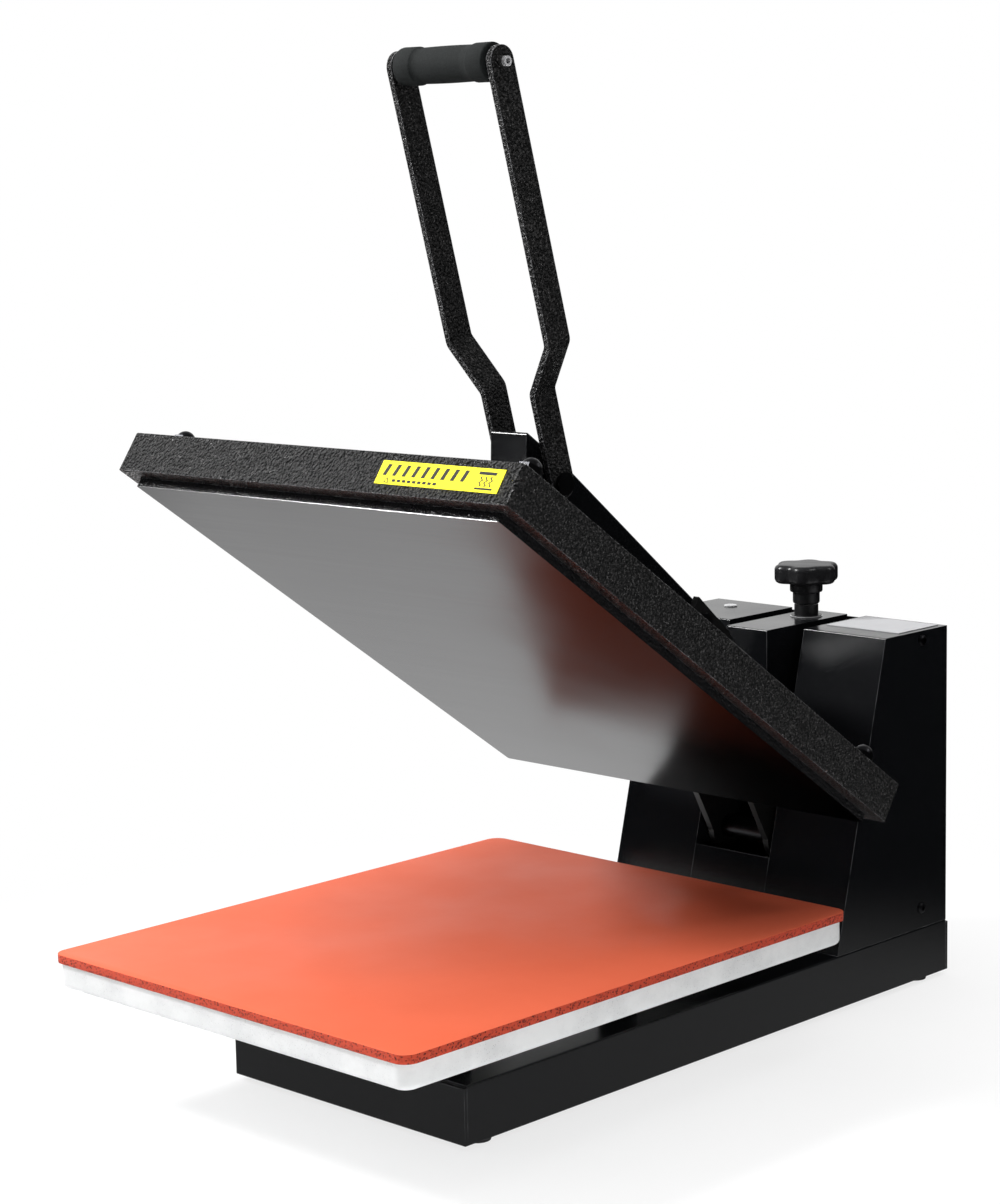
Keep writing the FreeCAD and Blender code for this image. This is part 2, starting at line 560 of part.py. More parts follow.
deck = "cover_height + mount_thick"
beam = outline("beam", "YZ_Plane", [
    ("beam_toe", deck), ("beam_rear", deck), ("beam_rear", "beam_tail"), ("beam_flat", "beam_top"),
    ("beam_front", "beam_top")], "2*beam_half", "-beam_half", "arm")
round_edges(beam, "beam", "2.5", lambda ends: along(1, ends) or (
    along(0, ends) and ends[0].z > sizes["beam_top"] - 1 and ends[0].y < sizes["beam_flat"] - 1))
room = outline("beam_room", "YZ_Plane", [
    ("beam_toe + 1.5*beam_wall", deck + " - 1"), ("beam_rear + 5", deck + " - 1"),
    ("beam_rear + 5", "beam_tail - beam_wall - 0.3"), ("beam_flat", "beam_top - beam_wall"),
    ("beam_front + 2*beam_wall", "beam_top - beam_wall")],
    "2*(beam_half - beam_wall)", "-beam_half + beam_wall", "arm")
pin_bore = rod("beam_pin_bore", "pin_radius + run_gap + 2", "60", ("-30", "hinge_y", "hinge_z", "x"), "arm")
bolt_bore = rod("beam_bolt_bore", "bolt_radius", "60", ("-30", "cheek_bolt_y", "cheek_bolt_z", "x"), "arm")
node("beam_channel", cut("beam_channel", beam, room, pin_bore, bolt_bore))

for name, x in (("cheek_plate_right", "cheek_in"), ("cheek_plate_left", "-cheek_in - cheek_thick")):
    plate = outline(name, "YZ_Plane", [
        ("cheek_front", deck), ("533", deck), ("arm_pivot_y - 16", "arm_pivot_z - 12"),
        ("arm_pivot_y + 10", "arm_pivot_z - 12"), ("arm_pivot_y + 16", "arm_pivot_z + 12"),
        ("560", "86"), ("cheek_front + 52", "124"), ("cheek_front", "130")], "cheek_thick", x, "arm")
    hub = rod(name + "_hub", "cheek_hub", "cheek_thick", (x, "arm_pivot_y", "arm_pivot_z", "x"), "arm")
    bore = rod(name + "_bore", "shaft_radius", "3*cheek_thick",
               (x + " - cheek_thick", "arm_pivot_y", "arm_pivot_z", "x"), "arm")
    hole = rod(name + "_hole", "bolt_radius", "3*cheek_thick",
               (x + " - cheek_thick", "cheek_bolt_y", "cheek_bolt_z", "x"), "arm")
    node(name, cut(name, fuse(name, plate, hub), bore, hole))

bolts = []
for x_head, x_spacer, x_shank in (
        ("cheek_in + cheek_thick", "beam_half", "beam_half - beam_wall"),
        ("-cheek_in - cheek_thick - head_height", "-cheek_in", "-cheek_in - cheek_thick")):
    spot = ("cheek_bolt_y", "cheek_bolt_z", "x")
    bolts.append(fuse("cheek_bolt",
                      rod("bolt_head", "bolt_head", "head_height", (x_head,) + spot, "arm"),
                      rod("bolt_spacer", "bolt_head + 1.5", "cheek_in - beam_half",
                          (x_spacer,) + spot, "arm"),
                      rod("bolt_shank", "bolt_radius", "cheek_in + cheek_thick - beam_half + beam_wall",
                          (x_shank,) + spot, "arm")))
node("cheek_bolts", group("cheek_bolts", bolts))

node("main_shaft", rod("main_shaft", "shaft_radius", "2*shaft_half",
                       ("-shaft_half", "arm_pivot_y", "arm_pivot_z", "x"), "arm"))
collars = []
for x in ("shaft_half - collar_width", "-shaft_half"):
    spot = ("arm_pivot_y", "arm_pivot_z", "x")
    collars.append(cut("collar", rod("collar_disc", "collar_radius", "collar_width", (x,) + spot, "arm"),
                       rod("collar_bore", "shaft_radius", "3*collar_width", (x + " - 5",) + spot, "arm")))
node("spring_collars", group("spring_collars", collars))

node("heat_sensor", rod("heat_sensor", "2.5", "40", ("100", "76", "hot_top + 2.5", "y"), "arm"))
gland = fuse("gland", rod("gland_body", "10", "12", ("150", "cover_depth", "18", "y"), "arm"),
             rod("gland_neck", "6", "14", ("150", "cover_depth - 6", "18", "y"), "arm"),
             rod("gland_nose", "7", "20", ("150", "cover_depth", "18", "y"), "arm"))
node("cable_gland", cut("cable_gland", gland, rod("gland_bore", "3.5", "60", (
    "150", "cover_depth - 20", "18", "y"), "arm")))
node("caution_label", box("caution_label", ("123", "0.3", "19"), ("77", "-0.3", "8"), "arm"))

bushes = []
for x in ("beam_half - beam_wall", "-beam_half"):
    spot = ("hinge_y", "hinge_z", "x")
    sleeve = rod("handle_bush_sleeve", "pin_radius + run_gap + 2", "beam_wall", (x,) + spot, "arm")
    flange_x = "beam_half" if x[0] != "-" else "-bar_in + 0.4"
    flange = rod("handle_bush_flange", "pin_head", "bar_in - beam_half - 0.4", (flange_x,) + spot, "arm")
    bore = rod("handle_bush_bore", "pin_radius + run_gap", "60", ("-30",) + spot, "arm")
    bushes.append(cut("handle_bush", fuse("bush", sleeve, flange), bore))
node("handle_bushes", group("handle_bushes", bushes))

# ---------------------------------------------------------------- handle

for name, side in (("handle_bar_right", 1), ("handle_bar_left", -1)):
    low, high = "bar_in", "bar_spread"
    points = [(low, "-bar_width/2"), (low + " + bar_thick", "-bar_width/2"),
              (low + " + bar_thick", "bend_low - bend_slip"),
              (high + " + bar_thick", "bend_high - bend_slip"),
              (high + " + bar_thick", "grip_z + bar_width/2"), (high, "grip_z + bar_width/2"),
              (high, "bend_high"), (low, "bend_low")]
    if side < 0:
        points = [("-(%s)" % x, z) for x, z in points]
    bar = outline(name, "XZ_Plane", points, "bar_width", "-bar_width/2", "handle")
    round_edges(bar, name, "bar_width/2 - 0.1", lambda ends: along(0, ends) and (
        ends[0].z > sizes["grip_z"] or ends[0].z < 0))
    inner, outer = sizes["bar_in"], sizes["bar_spread"]
    thick, slip = sizes["bar_thick"], sizes["bend_slip"]
    hollows = [(inner + thick, sizes["bend_low"] - slip), (outer, sizes["bend_high"])]
    ridges = [(inner, sizes["bend_low"]), (outer + thick, sizes["bend_high"] - slip)]
    for radius, spots in (("bend_radius", hollows), ("bend_radius + bar_thick", ridges)):
        round_edges(bar, name, radius, lambda ends: along(1, ends) and any(
            abs(abs(ends[0].x) - x) < 0.5 and abs(ends[0].z - z) < 0.5 for x, z in spots))
    pin_hole = rod(name + "_pin_hole", "pin_radius", "120", ("-60", "0", "0", "x"), "handle")
    screw_hole = rod(name + "_screw_hole", "screw_radius", "140", ("-70", "0", "grip_z", "x"), "handle")
    node(name, cut(name, bar, pin_hole, screw_hole))

core = rod("rod_round", "rod_radius", "2*bar_spread", ("-bar_spread", "0", "grip_z", "x"), "handle")
tapped = rod("rod_tapped", "screw_radius", "200", ("-100", "0", "grip_z", "x"), "handle")
node("grip_rod", cut("grip_rod", core, tapped))
foam = fuse("foam",
            rod("foam_middle", "grip_radius", "2*(bar_spread - foam_gap)",
                ("-bar_spread + foam_gap", "0", "grip_z", "x"), "handle"),
            rod("foam_end", "grip_collar", "collar_length",
                ("-bar_spread + foam_gap", "0", "grip_z", "x"), "handle"),
            rod("foam_end", "grip_collar", "collar_length",
                ("bar_spread - collar_length - foam_gap", "0", "grip_z", "x"), "handle"))
foam_bore = rod("foam_bore", "rod_radius", "200", ("-100", "0", "grip_z", "x"), "handle")
node("foam_grip", cut("foam_grip", foam, foam_bore))

screws = []
for x_head, x_shank in (("bar_spread + bar_thick", "bar_spread - 15"),
                        ("-bar_spread - bar_thick - 6", "-bar_spread - bar_thick")):
    spot = ("0", "grip_z", "x")
    head = rod("screw_head", "screw_head", "6", (x_head,) + spot, "handle")
    shank = rod("screw_shank", "screw_radius", "bar_thick + 15", (x_shank,) + spot, "handle")
    recess_x = "bar_spread + bar_thick + 3" if x_head[0] != "-" else "-bar_spread - bar_thick - 7"
    recess = add("Part::Prism", "screw_recess", (recess_x,) + spot, "handle", Circumradius="screw_hex", Height="4")
    recess.Polygon = 6
    screws.append(cut("grip_screw", fuse("screw", head, shank), recess))
node("grip_screws", group("grip_screws", screws))

pin = fuse("pivot_pin", rod("pin_shaft", "pin_radius", "2*(bar_in + bar_thick)", (
    "-bar_in - bar_thick", "0", "0", "x"), "handle"),
    rod("pin_cap", "pin_head", "3.5", ("bar_in + bar_thick", "0", "0", "x"), "handle"),
    rod("pin_cap", "pin_head", "3.5", ("-bar_in - bar_thick - 3.5", "0", "0", "x"), "handle"))
node("handle_pivot_pin", pin)

# The crank turns with the pin inside the beam and pulls on the toggle link.
lever = fuse("lever",
             rod("lever_boss", "crank_radius", "2*crank_half", ("-crank_half", "0", "0", "x"), "crank"),
             rod("lever_eye", "crank_radius - 1", "2*crank_half",
                 ("-crank_half", "-crank_length", "0", "x"), "crank"),
             box("lever_web", ("2*crank_half", "crank_length", "2*crank_radius - 4"),
                 ("-crank_half", "-crank_length", "-crank_radius + 2"), "crank"))
node("crank_lever", cut("crank_lever", lever,
                        rod("lever_bore", "pin_radius", "40", ("-20", "0", "0", "x"), "crank"),
                        rod("lever_bore", "crank_pin", "40", ("-20", "-crank_length", "0", "x"), "crank")))
reach = "link_in + link_thick + 0.4"
node("crank_pin", fuse("crank_pin_whole", rod("crank_pin_round", "crank_pin", "2*(%s)" % reach,
                                              ("-(%s)" % reach, "-crank_length", "0", "x"), "crank"),
                       rod("crank_pin_cap", "crank_pin + 3", "2",
                            (reach, "-crank_length", "0", "x"), "crank"),
                       rod("crank_pin_cap", "crank_pin + 3", "2",
                            ("-(%s) - 2" % reach, "-crank_length", "0", "x"),
                           "crank")))

# ---------------------------------------------------------------- toggle link and pressure block

bars = []
for x in ("link_in", "-link_in - link_thick"):
    bar = fuse("link_bar", rod("link_eye", "link_radius", "link_thick", (x, "0", "0", "x"), "link"),
               rod("link_eye", "link_radius", "link_thick", (x, "-" + link_length, "0", "x"), "link"),
               box("link_web", ("link_thick", link_length, "2*link_radius"),
                    (x, "-" + link_length, "-link_radius"),
                   "link"))
    bars.append(cut("link", bar, rod("link_bore", "pin_radius", "40", ("-20", "0", "0", "x"), "link"),
                    rod("link_bore", "crank_pin + run_gap", "40",
                         ("-20", "-" + link_length, "0", "x"), "link")))
node("link_bars", group("link_bars", bars))
node("link_pin", rod("link_pin", "pin_radius", "2*block_half - 1",
                     ("-block_half + 0.5", "0", "0", "x"), "link"))

block = box("block_body", ("2*block_half", "block_depth", "block_top - block_bottom"),
            ("-block_half", "block_y - block_depth/2", "block_bottom"))
fork = box("block_fork", ("2*fork_half", "2*block_depth", "fork_top - block_bottom + 5"),
           ("-fork_half", "block_y - block_depth", "block_bottom - 5"))
slot = box("block_slot", ("60", "2*slot_half", "2*slot_rise"),
           ("-30", "block_y - slot_half", "block_pin_z - slot_rise"))
thread = rod("block_thread", "adjust_radius + run_gap", "80", ("0", "block_y", "fork_top - 10"))
node("pressure_block", cut("pressure_block", block, fork, slot, thread))

node("pressure_screw", rod("pressure_screw", "adjust_radius", "knob_top - 8 - adjust_bottom",
                           ("0", "block_y", "adjust_bottom")))


def knob_star():
    """Round star of the knob with scallops between its lobes."""
    star = rod("star_disc", "knob_star", "knob_top - star_base", ("0", "block_y", "star_base"))
    scallops = []
    for i in range(sizes["lobes"]):
        angle = 360.0 / sizes["lobes"] * i
        reach = "(knob_star + 4.5)"
        scallops.append(rod("scallop", "lobe_radius", "60", (
            "%s*cos(%g)" % (reach, angle), "block_y + %s*sin(%g)" % (reach, angle), "star_base - 5")))
    return cut("star", star, *scallops)


knob = fuse("knob", knob_star(), rod("knob_neck", "knob_hub", "star_base - knob_base", (
    "0", "block_y", "knob_base")))
dish = rod("knob_dish", "14", "4", ("0", "block_y", "knob_top - 2"))
seat = rod("knob_seat", "adjust_radius", "knob_top - 8 - knob_base + 5", ("0", "block_y", "knob_base - 5"))
node("pressure_knob", cut("pressure_knob", knob, dish, seat))

# ---------------------------------------------------------------- checks and export

doc.recompute()
failed = [item.Name for item in doc.Objects if "Invalid" in item.State or "Error" in item.State]
failed += [label for label, item in nodes.items() if item.Shape.isNull() or not item.Shape.isValid()
           or not item.Shape.Solids]
if failed:
    raise SystemExit("failed: %s" % ", ".join(failed))
os.makedirs("parts", exist_ok=True)
for label, item in nodes.items():
    item.Shape.exportStep("parts/%s.step" % label)
print("%d sub-parts" % len(nodes))
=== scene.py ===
import json
import math
import bmesh
import bpy
from mathutils import Matrix, Vector


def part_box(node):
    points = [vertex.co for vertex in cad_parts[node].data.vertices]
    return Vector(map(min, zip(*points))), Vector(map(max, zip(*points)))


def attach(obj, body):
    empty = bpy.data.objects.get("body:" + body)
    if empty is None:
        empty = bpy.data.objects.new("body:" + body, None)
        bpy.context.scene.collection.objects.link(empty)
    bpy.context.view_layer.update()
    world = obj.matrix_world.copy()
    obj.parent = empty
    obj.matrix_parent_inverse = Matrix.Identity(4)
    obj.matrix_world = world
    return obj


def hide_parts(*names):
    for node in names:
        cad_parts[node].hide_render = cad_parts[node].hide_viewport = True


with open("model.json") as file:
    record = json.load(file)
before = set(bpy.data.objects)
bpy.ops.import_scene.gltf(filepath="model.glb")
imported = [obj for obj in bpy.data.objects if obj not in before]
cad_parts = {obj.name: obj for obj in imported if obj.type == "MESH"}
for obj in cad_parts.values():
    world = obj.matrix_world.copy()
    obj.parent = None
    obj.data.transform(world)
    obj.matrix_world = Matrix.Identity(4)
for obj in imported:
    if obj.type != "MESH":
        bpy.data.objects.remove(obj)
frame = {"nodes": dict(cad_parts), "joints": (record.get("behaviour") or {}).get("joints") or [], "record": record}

nodes = frame["nodes"]
joints = {joint["name"]: joint for joint in frame["joints"]}
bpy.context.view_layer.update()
print("frame loaded:", len(nodes), "nodes")

# the arm stands open by its hinge's whole range: pieces on the cover are made flat and tilted with it
arm = {"pivotBack": 0.6363, "pivotUp": 0.0067, "coverHeight": 0.034, "sheet": 0.004, "workFace": -0.007}
tilt = math.radians(joints["arm_hinge"]["range_deg"][1])
armTurn = Matrix.Rotation(-tilt, 4, "X")
armPivot = Vector(joints["arm_hinge"]["pos_m"])
armShift = Matrix.Translation((0, -arm["pivotBack"], -arm["pivotUp"]))
armPlace = Matrix.Translation(armPivot) @ armTurn @ armShift

# degrees, with lens and sensor in millimetres
camera = {"place": (1.5223, -1.6192, 0.7116), "azimuth": 44.36, "elevation": 8.70, "roll": -1.14,
          "lens": 82.53, "sensor": 36}


def setCamera():
    azimuth = math.radians(camera["azimuth"])
    elevation = math.radians(camera["elevation"])
    data = bpy.data.cameras.new("camera")
    data.lens = camera["lens"]
    data.sensor_width = camera["sensor"]
    view = bpy.data.objects.new("camera", data)
    bpy.context.scene.collection.objects.link(view)
    turn = Matrix.Rotation(azimuth, 4, "Z") @ Matrix.Rotation(math.pi / 2 - elevation, 4, "X")
    turn = turn @ Matrix.Rotation(math.radians(camera["roll"]), 4, "Z")
    view.matrix_world = Matrix.Translation(camera["place"]) @ turn
    bpy.context.scene.camera = view


setCamera()
print("camera set")


def clear():
    if bpy.context.object and bpy.context.object.mode != "OBJECT":
        bpy.ops.object.mode_set(mode="OBJECT")
    bpy.ops.object.select_all(action="DESELECT")


def only(piece):
    clear()
    piece.select_set(True)
    bpy.context.view_layer.objects.active = piece


def settle(piece):
    # place, turn and size go into the mesh
    only(piece)
    bpy.ops.object.transform_apply(location=True, rotation=True, scale=True)


def block(name, low, high):
    clear()
    low, high = Vector(low), Vector(high)
    bpy.ops.mesh.primitive_cube_add(size=1, location=(low + high) / 2)
    piece = bpy.context.object
    piece.name = name
    piece.scale = high - low
    settle(piece)
    return piece


def disc(name, radius, start, end, sides=48):
    # a round bar from one point to another
    clear()
    start, end = Vector(start), Vector(end)
    run = end - start
    turn = run.to_track_quat("Z", "Y").to_euler()
    bpy.ops.mesh.primitive_cylinder_add(vertices=sides, radius=radius, depth=run.length,
                                        location=(start + end) / 2, rotation=turn)
    piece = bpy.context.object
    piece.name = name
    settle(piece)
    return piece


def startEdit(piece, kind):
    # edit mode with nothing selected; kind is VERT, EDGE or FACE
    only(piece)
    bpy.ops.object.mode_set(mode="EDIT")
    bpy.ops.mesh.select_mode(type=kind)
    bpy.ops.mesh.select_all(action="DESELECT")
    return bmesh.from_edit_mesh(piece.data)


def endEdit():
    bpy.ops.object.mode_set(mode="OBJECT")


def pickFaces(piece, test):
    shape = startEdit(piece, "FACE")
    for face in shape.faces:
        face.select_set(bool(test(face.calc_center_median(), face.normal)))
    bmesh.update_edit_mesh(piece.data)


def pickEdges(piece, test):
    shape = startEdit(piece, "EDGE")
    for edge in shape.edges:
        edge.select_set(bool(test(edge.verts[0].co, edge.verts[1].co)))
    bmesh.update_edit_mesh(piece.data)


def lathe(name, start, axis, rings, sides=64):
    # a thin disc whose end face is drawn out ring by ring; a ring is (distance from start, radius)
    start, axis = Vector(start), Vector(axis)
    first, radius = rings[0]
    last, wide = rings[1]
    piece = disc(name, radius, start + axis * first, start + axis * last, sides)

    def atEnd(spot, normal):
        return normal.dot(axis) > 0.9 and (spot - start).dot(axis) > rings[1][0] - 1e-6

    def resize(factor, distance):
        bpy.ops.transform.resize(value=(factor, factor, factor), center_override=start + axis * distance)

    pickFaces(piece, atEnd)
    resize(wide / radius, last)
    radius = wide
    for distance, wide in rings[2:]:
        step = axis * (distance - last)
        bpy.ops.mesh.extrude_region_move(TRANSFORM_OT_translate={"value": step})
        resize(wide / radius, distance)
        last, radius = distance, wide
    endEdit()
    return piece


def apply(piece, kind, **values):
    only(piece)
    work = piece.modifiers.new(kind.lower(), kind)
    for key, value in values.items():
        setattr(work, key, value)
    bpy.ops.object.modifier_apply(modifier=work.name)


def smooth(piece, angle=30):
    only(piece)
    bpy.ops.object.shade_smooth_by_angle(angle=math.radians(angle))


def copyOf(piece, name, shift):
    other = piece.copy()
    other.data = piece.data.copy()
    other.name = name
    bpy.context.scene.collection.objects.link(other)
    other.data.transform(Matrix.Translation(shift))
    return other


def joined(name, pieces):
    only(pieces[0])
    for piece in pieces[1:]:
        piece.select_set(True)
    bpy.ops.object.join()
    whole = bpy.context.object
    whole.name = name
    return whole


def fit(piece, body, material, onArm=False):
    # the last step of every piece: tilt it with the arm, give it its finish, slot and body
    if onArm:
        piece.data.transform(armPlace)
    if material:
        piece.data.materials.clear()
        piece.data.materials.append(material)
    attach(piece, body)


def newGroup(name, inputs, outputs):
    group = bpy.data.node_groups.new(name, "ShaderNodeTree")
    for label, kind, value in inputs:
        socket = group.interface.new_socket(name=label, in_out="INPUT", socket_type=kind)
        if value is not None:
            socket.default_value = value
    for label, kind in outputs:
        group.interface.new_socket(name=label, in_out="OUTPUT", socket_type=kind)
    return group, group.nodes.new("NodeGroupInput"), group.nodes.new("NodeGroupOutput")


def put(tree, kind, **values):
    # a node with its settings; a value that is a socket is linked, and i0, i1 ... are inputs by number
    node = tree.nodes.new(kind)
    for key, value in values.items():
        if hasattr(node, key):
            setattr(node, key, value)
            continue
        numbered = key[0] == "i" and key[1:].isdigit()
        socket = node.inputs[int(key[1:]) if numbered else key.replace("_", " ")]
        if isinstance(value, bpy.types.NodeSocket):
            tree.links.new(value, socket)
        else:
            socket.default_value = value
    return node


def calc(tree, operation, first, second):
    return put(tree, "ShaderNodeMath", operation=operation, i0=first, i1=second).outputs[0]


def measure(tree, operation, first, **second):
    return put(tree, "ShaderNodeVectorMath", operation=operation, i0=first, **second).outputs["Value"]


def spread(tree, value, start=0.0, stop=1.0, low=0.0, high=1.0, **settings):
    # start to stop becomes low to high
    node = put(tree, "ShaderNodeMapRange", i0=value, i1=start, i2=stop, i3=low, i4=high, **settings)
    return node.outputs[0]


def noise(tree, place, size, detail, **settings):
    return put(tree, "ShaderNodeTexNoise", Vector=place, Scale=size, Detail=detail, **settings).outputs["Fac"]


def cells(tree, place, size, **settings):
    return put(tree, "ShaderNodeTexVoronoi", Vector=place, Scale=size, **settings).outputs["Distance"]


# wrinkle and fleck of a powder coat: Height for bump, Fleck for the bright grains
coatGrain = {"softness": 0.6, "detail": 3.0, "sparkSize": 560.0, "sparkDetail": 2.0, "sparkTop": 0.68}


def makeGrainGroup():
    group, start, end = newGroup("paintGrain", [
        ("Vector", "NodeSocketVector", None), ("Grain", "NodeSocketFloat", 600.0),
        ("Fleck", "NodeSocketFloat", 0.5)],
        [("Height", "NodeSocketFloat"), ("Fleck", "NodeSocketFloat")])
    place = start.outputs["Vector"]
    size = start.outputs["Grain"]
    lumps = cells(group, place, size, feature="SMOOTH_F1", Smoothness=coatGrain["softness"])
    height = calc(group, "MULTIPLY", lumps, noise(group, place, size, coatGrain["detail"]))
    group.links.new(height, end.inputs["Height"])
    sparks = noise(group, place, coatGrain["sparkSize"], coatGrain["sparkDetail"])
    level = calc(group, "SUBTRACT", 1.0, start.outputs["Fleck"])
    group.links.new(spread(group, sparks, level, coatGrain["sparkTop"]), end.inputs["Fleck"])
    return group


# pale line along the edges, in patches: a painted highlight on the edges, laid out like rubbed wear
rubbedAndLitEdge = {"flat": 0.985, "sharp": 0.86, "patch": 55.0, "detail": 4.0, "bare": 0.3, "full": 0.6}


def makeWearAndHighlightGroup():
    group, start, end = newGroup("edgeWearAndHighlight", [
        ("Vector", "NodeSocketVector", None), ("Radius", "NodeSocketFloat", 0.0008),
        ("Amount", "NodeSocketFloat", 1.0)],
        [("Mask", "NodeSocketFloat")])
    rounded = put(group, "ShaderNodeBevel", samples=4, Radius=start.outputs["Radius"])
    flat = put(group, "ShaderNodeNewGeometry")
    turn = measure(group, "DOT_PRODUCT", rounded.outputs[0], i1=flat.outputs["Normal"])
    edge = spread(group, turn, rubbedAndLitEdge["flat"], rubbedAndLitEdge["sharp"])
    patches = noise(group, start.outputs["Vector"], rubbedAndLitEdge["patch"], rubbedAndLitEdge["detail"])
    mask = calc(group, "MULTIPLY", edge, spread(group, patches, rubbedAndLitEdge["bare"], rubbedAndLitEdge["full"]))
    group.links.new(calc(group, "MULTIPLY", mask, start.outputs["Amount"]), end.inputs["Mask"])
    return group


# soft handling marks that only change how rough a surface is
handled = {"size": 9.0, "detail": 5.0, "from": 0.3, "to": 0.7}


def makeSmudgeGroup():
    group, start, end = newGroup("smudge", [
        ("Vector", "NodeSocketVector", None), ("Low", "NodeSocketFloat", 0.3),
        ("High", "NodeSocketFloat", 0.45)],
        [("Roughness", "NodeSocketFloat")])
    broad = noise(group, start.outputs["Vector"], handled["size"], handled["detail"])
    rough = spread(group, broad, handled["from"], handled["to"], start.outputs["Low"], start.outputs["High"])
    group.links.new(rough, end.inputs["Roughness"])
    return group


grainGroup = makeGrainGroup()
wearAndHighlightGroup = makeWearAndHighlightGroup()
smudgeGroup = makeSmudgeGroup()
print("shader groups made")


def groupNode(tree, group, **values):
    node = tree.nodes.new("ShaderNodeGroup")
    node.node_tree = group
    for key, value in values.items():
        if isinstance(value, bpy.types.NodeSocket):
            tree.links.new(value, node.inputs[key])
        else:
            node.inputs[key].default_value = value
    return node


def newMaterial(name, **shader):
    material = bpy.data.materials.new(name)
    material.use_nodes = True
    tree = material.node_tree
    surface = tree.nodes["Principled BSDF"]
    for key, value in shader.items():
        surface.inputs[key.replace("_", " ")].default_value = value
    place = put(tree, "ShaderNodeTexCoord").outputs["Object"]
    return material, tree, surface, place


def blendColor(tree, factor, low, high):
    mix = tree.nodes.new("ShaderNodeMix")
    mix.data_type = "RGBA"
    tree.links.new(factor, mix.inputs[0])
    for socket, value in ((mix.inputs[6], low), (mix.inputs[7], high)):
        if isinstance(value, bpy.types.NodeSocket):
            tree.links.new(value, socket)
        else:
            socket.default_value = (*value, 1)
    return mix.outputs[2]


def tint(tree, surface, color):
    tree.links.new(color, surface.inputs["Base Color"])


def roughen(tree, surface, place, low, high):
    marks = groupNode(tree, smudgeGroup, Vector=place, Low=low, High=high)
    tree.links.new(marks.outputs[0], surface.inputs["Roughness"])


def bump(tree, surface, height, strength, distance):
    node = put(tree, "ShaderNodeBump", Strength=strength, Distance=distance, Height=height)
    tree.links.new(node.outputs[0], surface.inputs["Normal"])


# hammered powder coat: the flecks are glossier as well as paler, so they flash where light falls; its pale edge
# colour is a painted highlight along the edges, in patches like rubbed wear
coat = {"base": (0.0044, 0.0046, 0.0048), "grain": (0.052, 0.050, 0.050), "edge": (0.16, 0.16, 0.17),
        "size": 430.0, "fleck": 0.49, "dull": 0.46, "gloss": 0.2, "depth": 0.0065, "wearAndHighlight": 0.9,
        "wearAndHighlightWide": 0.0011}


def hammertoneCoat():
    material, tree, surface, place = newMaterial("hammertoneCoat", Specular_IOR_Level=0.55)
    grain = groupNode(tree, grainGroup, Vector=place, Grain=coat["size"], Fleck=coat["fleck"])
    wearAndHighlight = groupNode(tree, wearAndHighlightGroup, Vector=place, Radius=coat["wearAndHighlightWide"], Amount=coat["wearAndHighlight"])
    color = blendColor(tree, grain.outputs["Fleck"], coat["base"], coat["grain"])
    # painted highlight: the pale edge colour where the edge mask is
    tint(tree, surface, blendColor(tree, wearAndHighlight.outputs["Mask"], color, coat["edge"]))
    rough = spread(tree, grain.outputs["Fleck"], low=coat["dull"], high=coat["gloss"])
    tree.links.new(rough, surface.inputs["Roughness"])
    bump(tree, surface, grain.outputs["Height"], 1.0, coat["depth"])
    return material


# smooth satin paint with a faint orange peel; its pale edge colour is a painted highlight along the edges, in
# patches like rubbed wear
paint = {"base": (0.0035, 0.0038, 0.0045), "edge": (0.13, 0.13, 0.135), "gloss": 0.16, "dull": 0.25,
         "peel": 260.0, "strength": 0.12, "depth": 0.0005, "wearAndHighlight": 0.75, "wearAndHighlightWide": 0.0009}


def satinPaint():
    material, tree, surface, place = newMaterial("satinPaint", Specular_IOR_Level=0.4)
    wearAndHighlight = groupNode(tree, wearAndHighlightGroup, Vector=place, Radius=paint["wearAndHighlightWide"], Amount=paint["wearAndHighlight"])
    # painted highlight: the pale edge colour where the edge mask is
    tint(tree, surface, blendColor(tree, wearAndHighlight.outputs["Mask"], paint["base"], paint["edge"]))
    roughen(tree, surface, place, paint["gloss"], paint["dull"])
    bump(tree, surface, noise(tree, place, paint["peel"], 2.0), paint["strength"], paint["depth"])
    return material


# raw casting: clouded skin with small pits where the cloud is dull; the pits are painted dark grey as painted
# shade
casting = {"light": (0.93, 0.94, 0.94), "dull": (0.76, 0.77, 0.775), "pitShade": (0.3, 0.3, 0.31), "cloud": 16.0,
           "cloudFrom": 0.42, "cloudTo": 0.7, "pits": 520.0, "pitRim": 0.22, "pitFloor": 0.08,
           "smooth": 0.34, "rough": 0.5, "strength": 0.35, "depth": 0.0006}


def castAluminium():
    material, tree, surface, place = newMaterial("castAluminium", Metallic=0.4)
    cloud = noise(tree, place, casting["cloud"], 8.0, Roughness=0.65)
    cloudy = spread(tree, cloud, casting["cloudFrom"], casting["cloudTo"])
    pits = spread(tree, cells(tree, place, casting["pits"]), casting["pitRim"], casting["pitFloor"])
    sparse = calc(tree, "MULTIPLY", pits, cloudy)
    color = blendColor(tree, cloudy, casting["light"], casting["dull"])
    # painted shade: the pits are darkened
    tint(tree, surface, blendColor(tree, sparse, color, casting["pitShade"]))
    rough = spread(tree, cloudy, low=casting["smooth"], high=casting["rough"])
    tree.links.new(rough, surface.inputs["Roughness"])
    bump(tree, surface, calc(tree, "SUBTRACT", cloud, sparse), casting["strength"], casting["depth"])
    return material


# bare satin metal on the heated face, black paint on its sides
hotFace = {"base": (0.10, 0.10, 0.101), "mark": (0.082, 0.082, 0.083), "paint": (0.006, 0.006, 0.0065),
           "bare": 0.0003, "brush": (4, 380, 380), "gloss": 0.15, "dull": 0.22, "grain": 480.0,
           "depth": 0.0024}


